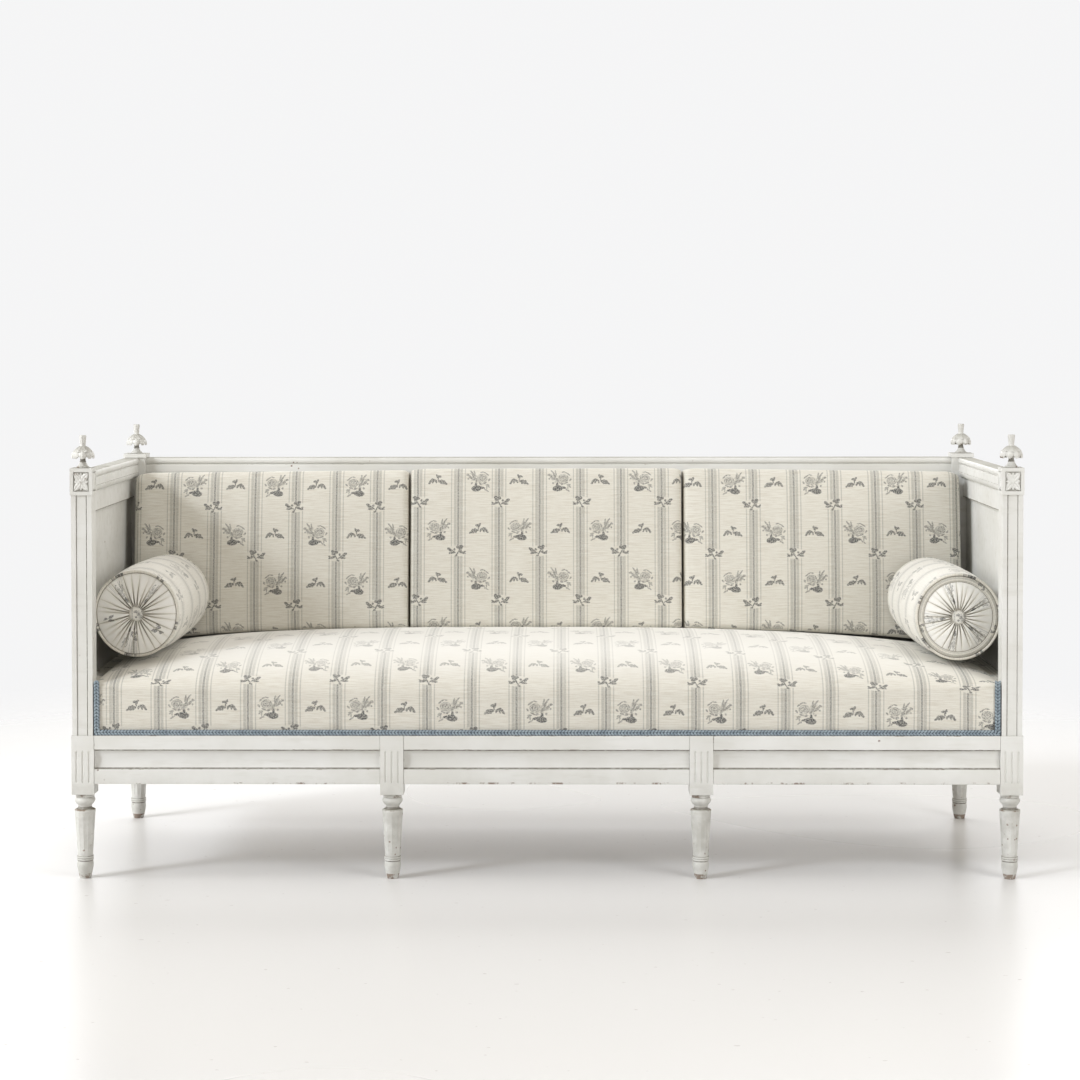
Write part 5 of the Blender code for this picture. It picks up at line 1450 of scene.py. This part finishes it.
seed = tuft(0.0094, 0.0050, 0.0048)
plait, plait_ids = walk_group("plait", seed, thread)
front, top = braid_low.y + 0.0008, braid_high.z - 0.001
rows = []
for offset, tilt in ((0.25, BRAID_TILT), (0.75, -BRAID_TILT)):
    inset = BRAID_WIDE * offset
    left, right, low = braid_low.x + inset, braid_high.x - inset, braid_low.z + inset
    path = [(left, front, top), (left, front, low), (right, front, low), (right, front, top)]
    rows.append(grown("path", plait, plait_ids, path, step=BRAID_STEP, tilt=tilt))
back = merged("seat_braid")
flat_faces = len(back.data.polygons)
braid = joined("seat_braid_plait", back, rows)
bpy.data.objects.remove(seed, do_unlink=True)
# the flat band behind the tufts is marked for the painted shade of the gaps
numbered(braid, "edge", [1.0 if k < flat_faces else 0.0 for k in range(len(braid.data.polygons))], "FACE")
braid.data.shade_smooth()
braid.data.set_sharp_from_angle(angle=math.radians(60))
seated(braid, "frame", "seat_braid", thread)
print("braid:", len(braid.data.polygons), "faces")

# %% [markdown]
# ## Floor, lamps and camera
# The sofa stands in a white studio. The pale floor is slightly polished, so it shows faint reflections of the legs,
# and it fades out at a distance, so no horizon shows. A soft sun from the left and front makes the shadow under
# the sofa and the shade on the left cushion. Soft boxes above, behind and at both sides fill it in. The
# surroundings are white where the camera or a reflection sees them, but their light on the sofa is weak and warm.

# %% Floor
FLOOR_REACH = 4.5
floor_look, tree, shader = material("studio_floor")
where = position(tree)
scuff = speckle(tree, where, 0.7, 0.0, 0.5)
mark = remap(tree, speckle(tree, where, 90.0, 1.0, 0.5, (0.6, 1.0, 1.0)), 0.755, 0.80)
colour = blend(tree, maths(tree, "MULTIPLY", mark, 0.45), (0.800, 0.798, 0.794, 1), (0.30, 0.26, 0.24, 1))
feed(tree, shader, {"Base Color": colour, "Roughness": remap(tree, scuff, 0.3, 0.7, 0.27, 0.31),
                    "Specular IOR Level": 0.3})
away = remap(tree, vectors(tree, "LENGTH", where), 1.5, 3.0)
gone = add(tree, "ShaderNodeBsdfTransparent").outputs[0]
fading = add(tree, "ShaderNodeMixShader", {0: away, 1: shader.outputs[0], 2: gone})
feed(tree, tree.nodes["Material Output"], {"Surface": fading.outputs[0]})
corners = [(x * FLOOR_REACH, y * FLOOR_REACH, 0) for x, y in ((-1, -1), (1, -1), (1, 1), (-1, 1))]
floor = piece("studio_floor", corners, [(0, 1, 2, 3)])
floor.data.materials.append(floor_look)

# %% Surroundings
world = bpy.data.worlds.new("studio_light")
bpy.context.scene.world = world
world.use_nodes = True
tree = world.node_tree
dim = tree.nodes["Background"]
feed(tree, dim, {"Color": (1.0, 0.85, 0.64, 1), "Strength": 0.245})
white = add(tree, "ShaderNodeBackground", {"Color": (0.985, 0.985, 0.99, 1), "Strength": 0.93})
path = add(tree, "ShaderNodeLightPath")
seen = maths(tree, "MAXIMUM", path.outputs["Is Camera Ray"], path.outputs["Is Glossy Ray"])
choice = add(tree, "ShaderNodeMixShader", {0: seen, 1: dim.outputs[0], 2: white.outputs[0]})
feed(tree, tree.nodes["World Output"], {"Surface": choice.outputs[0]})

# %% Lamps
TOWARDS_KEY = Vector((-1.0, -0.65, 0.72))
light = bpy.data.lights.new("key", "SUN")
light.energy = 1.20
light.color = (0.89, 0.935, 1.0)
light.angle = math.radians(11)
key = placed("key", light)
key.location = TOWARDS_KEY * 3
key.rotation_euler = TOWARDS_KEY.to_track_quat("Z", "Y").to_euler()


def softbox(name, place, aim, wide, high, power):
    data = bpy.data.lights.new(name, "AREA")
    data.shape = "RECTANGLE"
    data.size, data.size_y = wide, high
    data.energy = power
    made = placed(name, data)
    made.location = place
    made.rotation_euler = (Vector(aim) - Vector(place)).to_track_quat("-Z", "Y").to_euler()
    made.visible_camera = False


softbox("overhead", (0.0, -0.4, 3.6), (0.0, -0.1, 0.0), 4.5, 3.0, 39)
softbox("behind", (0.0, 3.0, 2.4), (0.0, 0.0, 0.1), 6.0, 2.2, 108)
softbox("left", (-3.0, -1.0, 1.5), (0.0, 0.0, 0.5), 1.6, 1.6, 50)
softbox("right", (2.6, -2.6, 1.8), (0.0, 0.0, 0.4), 1.6, 1.6, 50)
print("lamps:", [light.name for light in bpy.data.lights])

# %% Camera
data = bpy.data.cameras.new("camera")
data.lens = 79.27
data.sensor_width = 36.0
data.shift_y = -0.1254
camera = placed("camera", data)
camera.location = (0.033, -5.190, 1.112)
camera.rotation_euler = (math.radians(88.42), math.radians(0.06), math.radians(0.535))
bpy.context.scene.camera = camera
bpy.context.scene.view_settings.view_transform = "Standard"
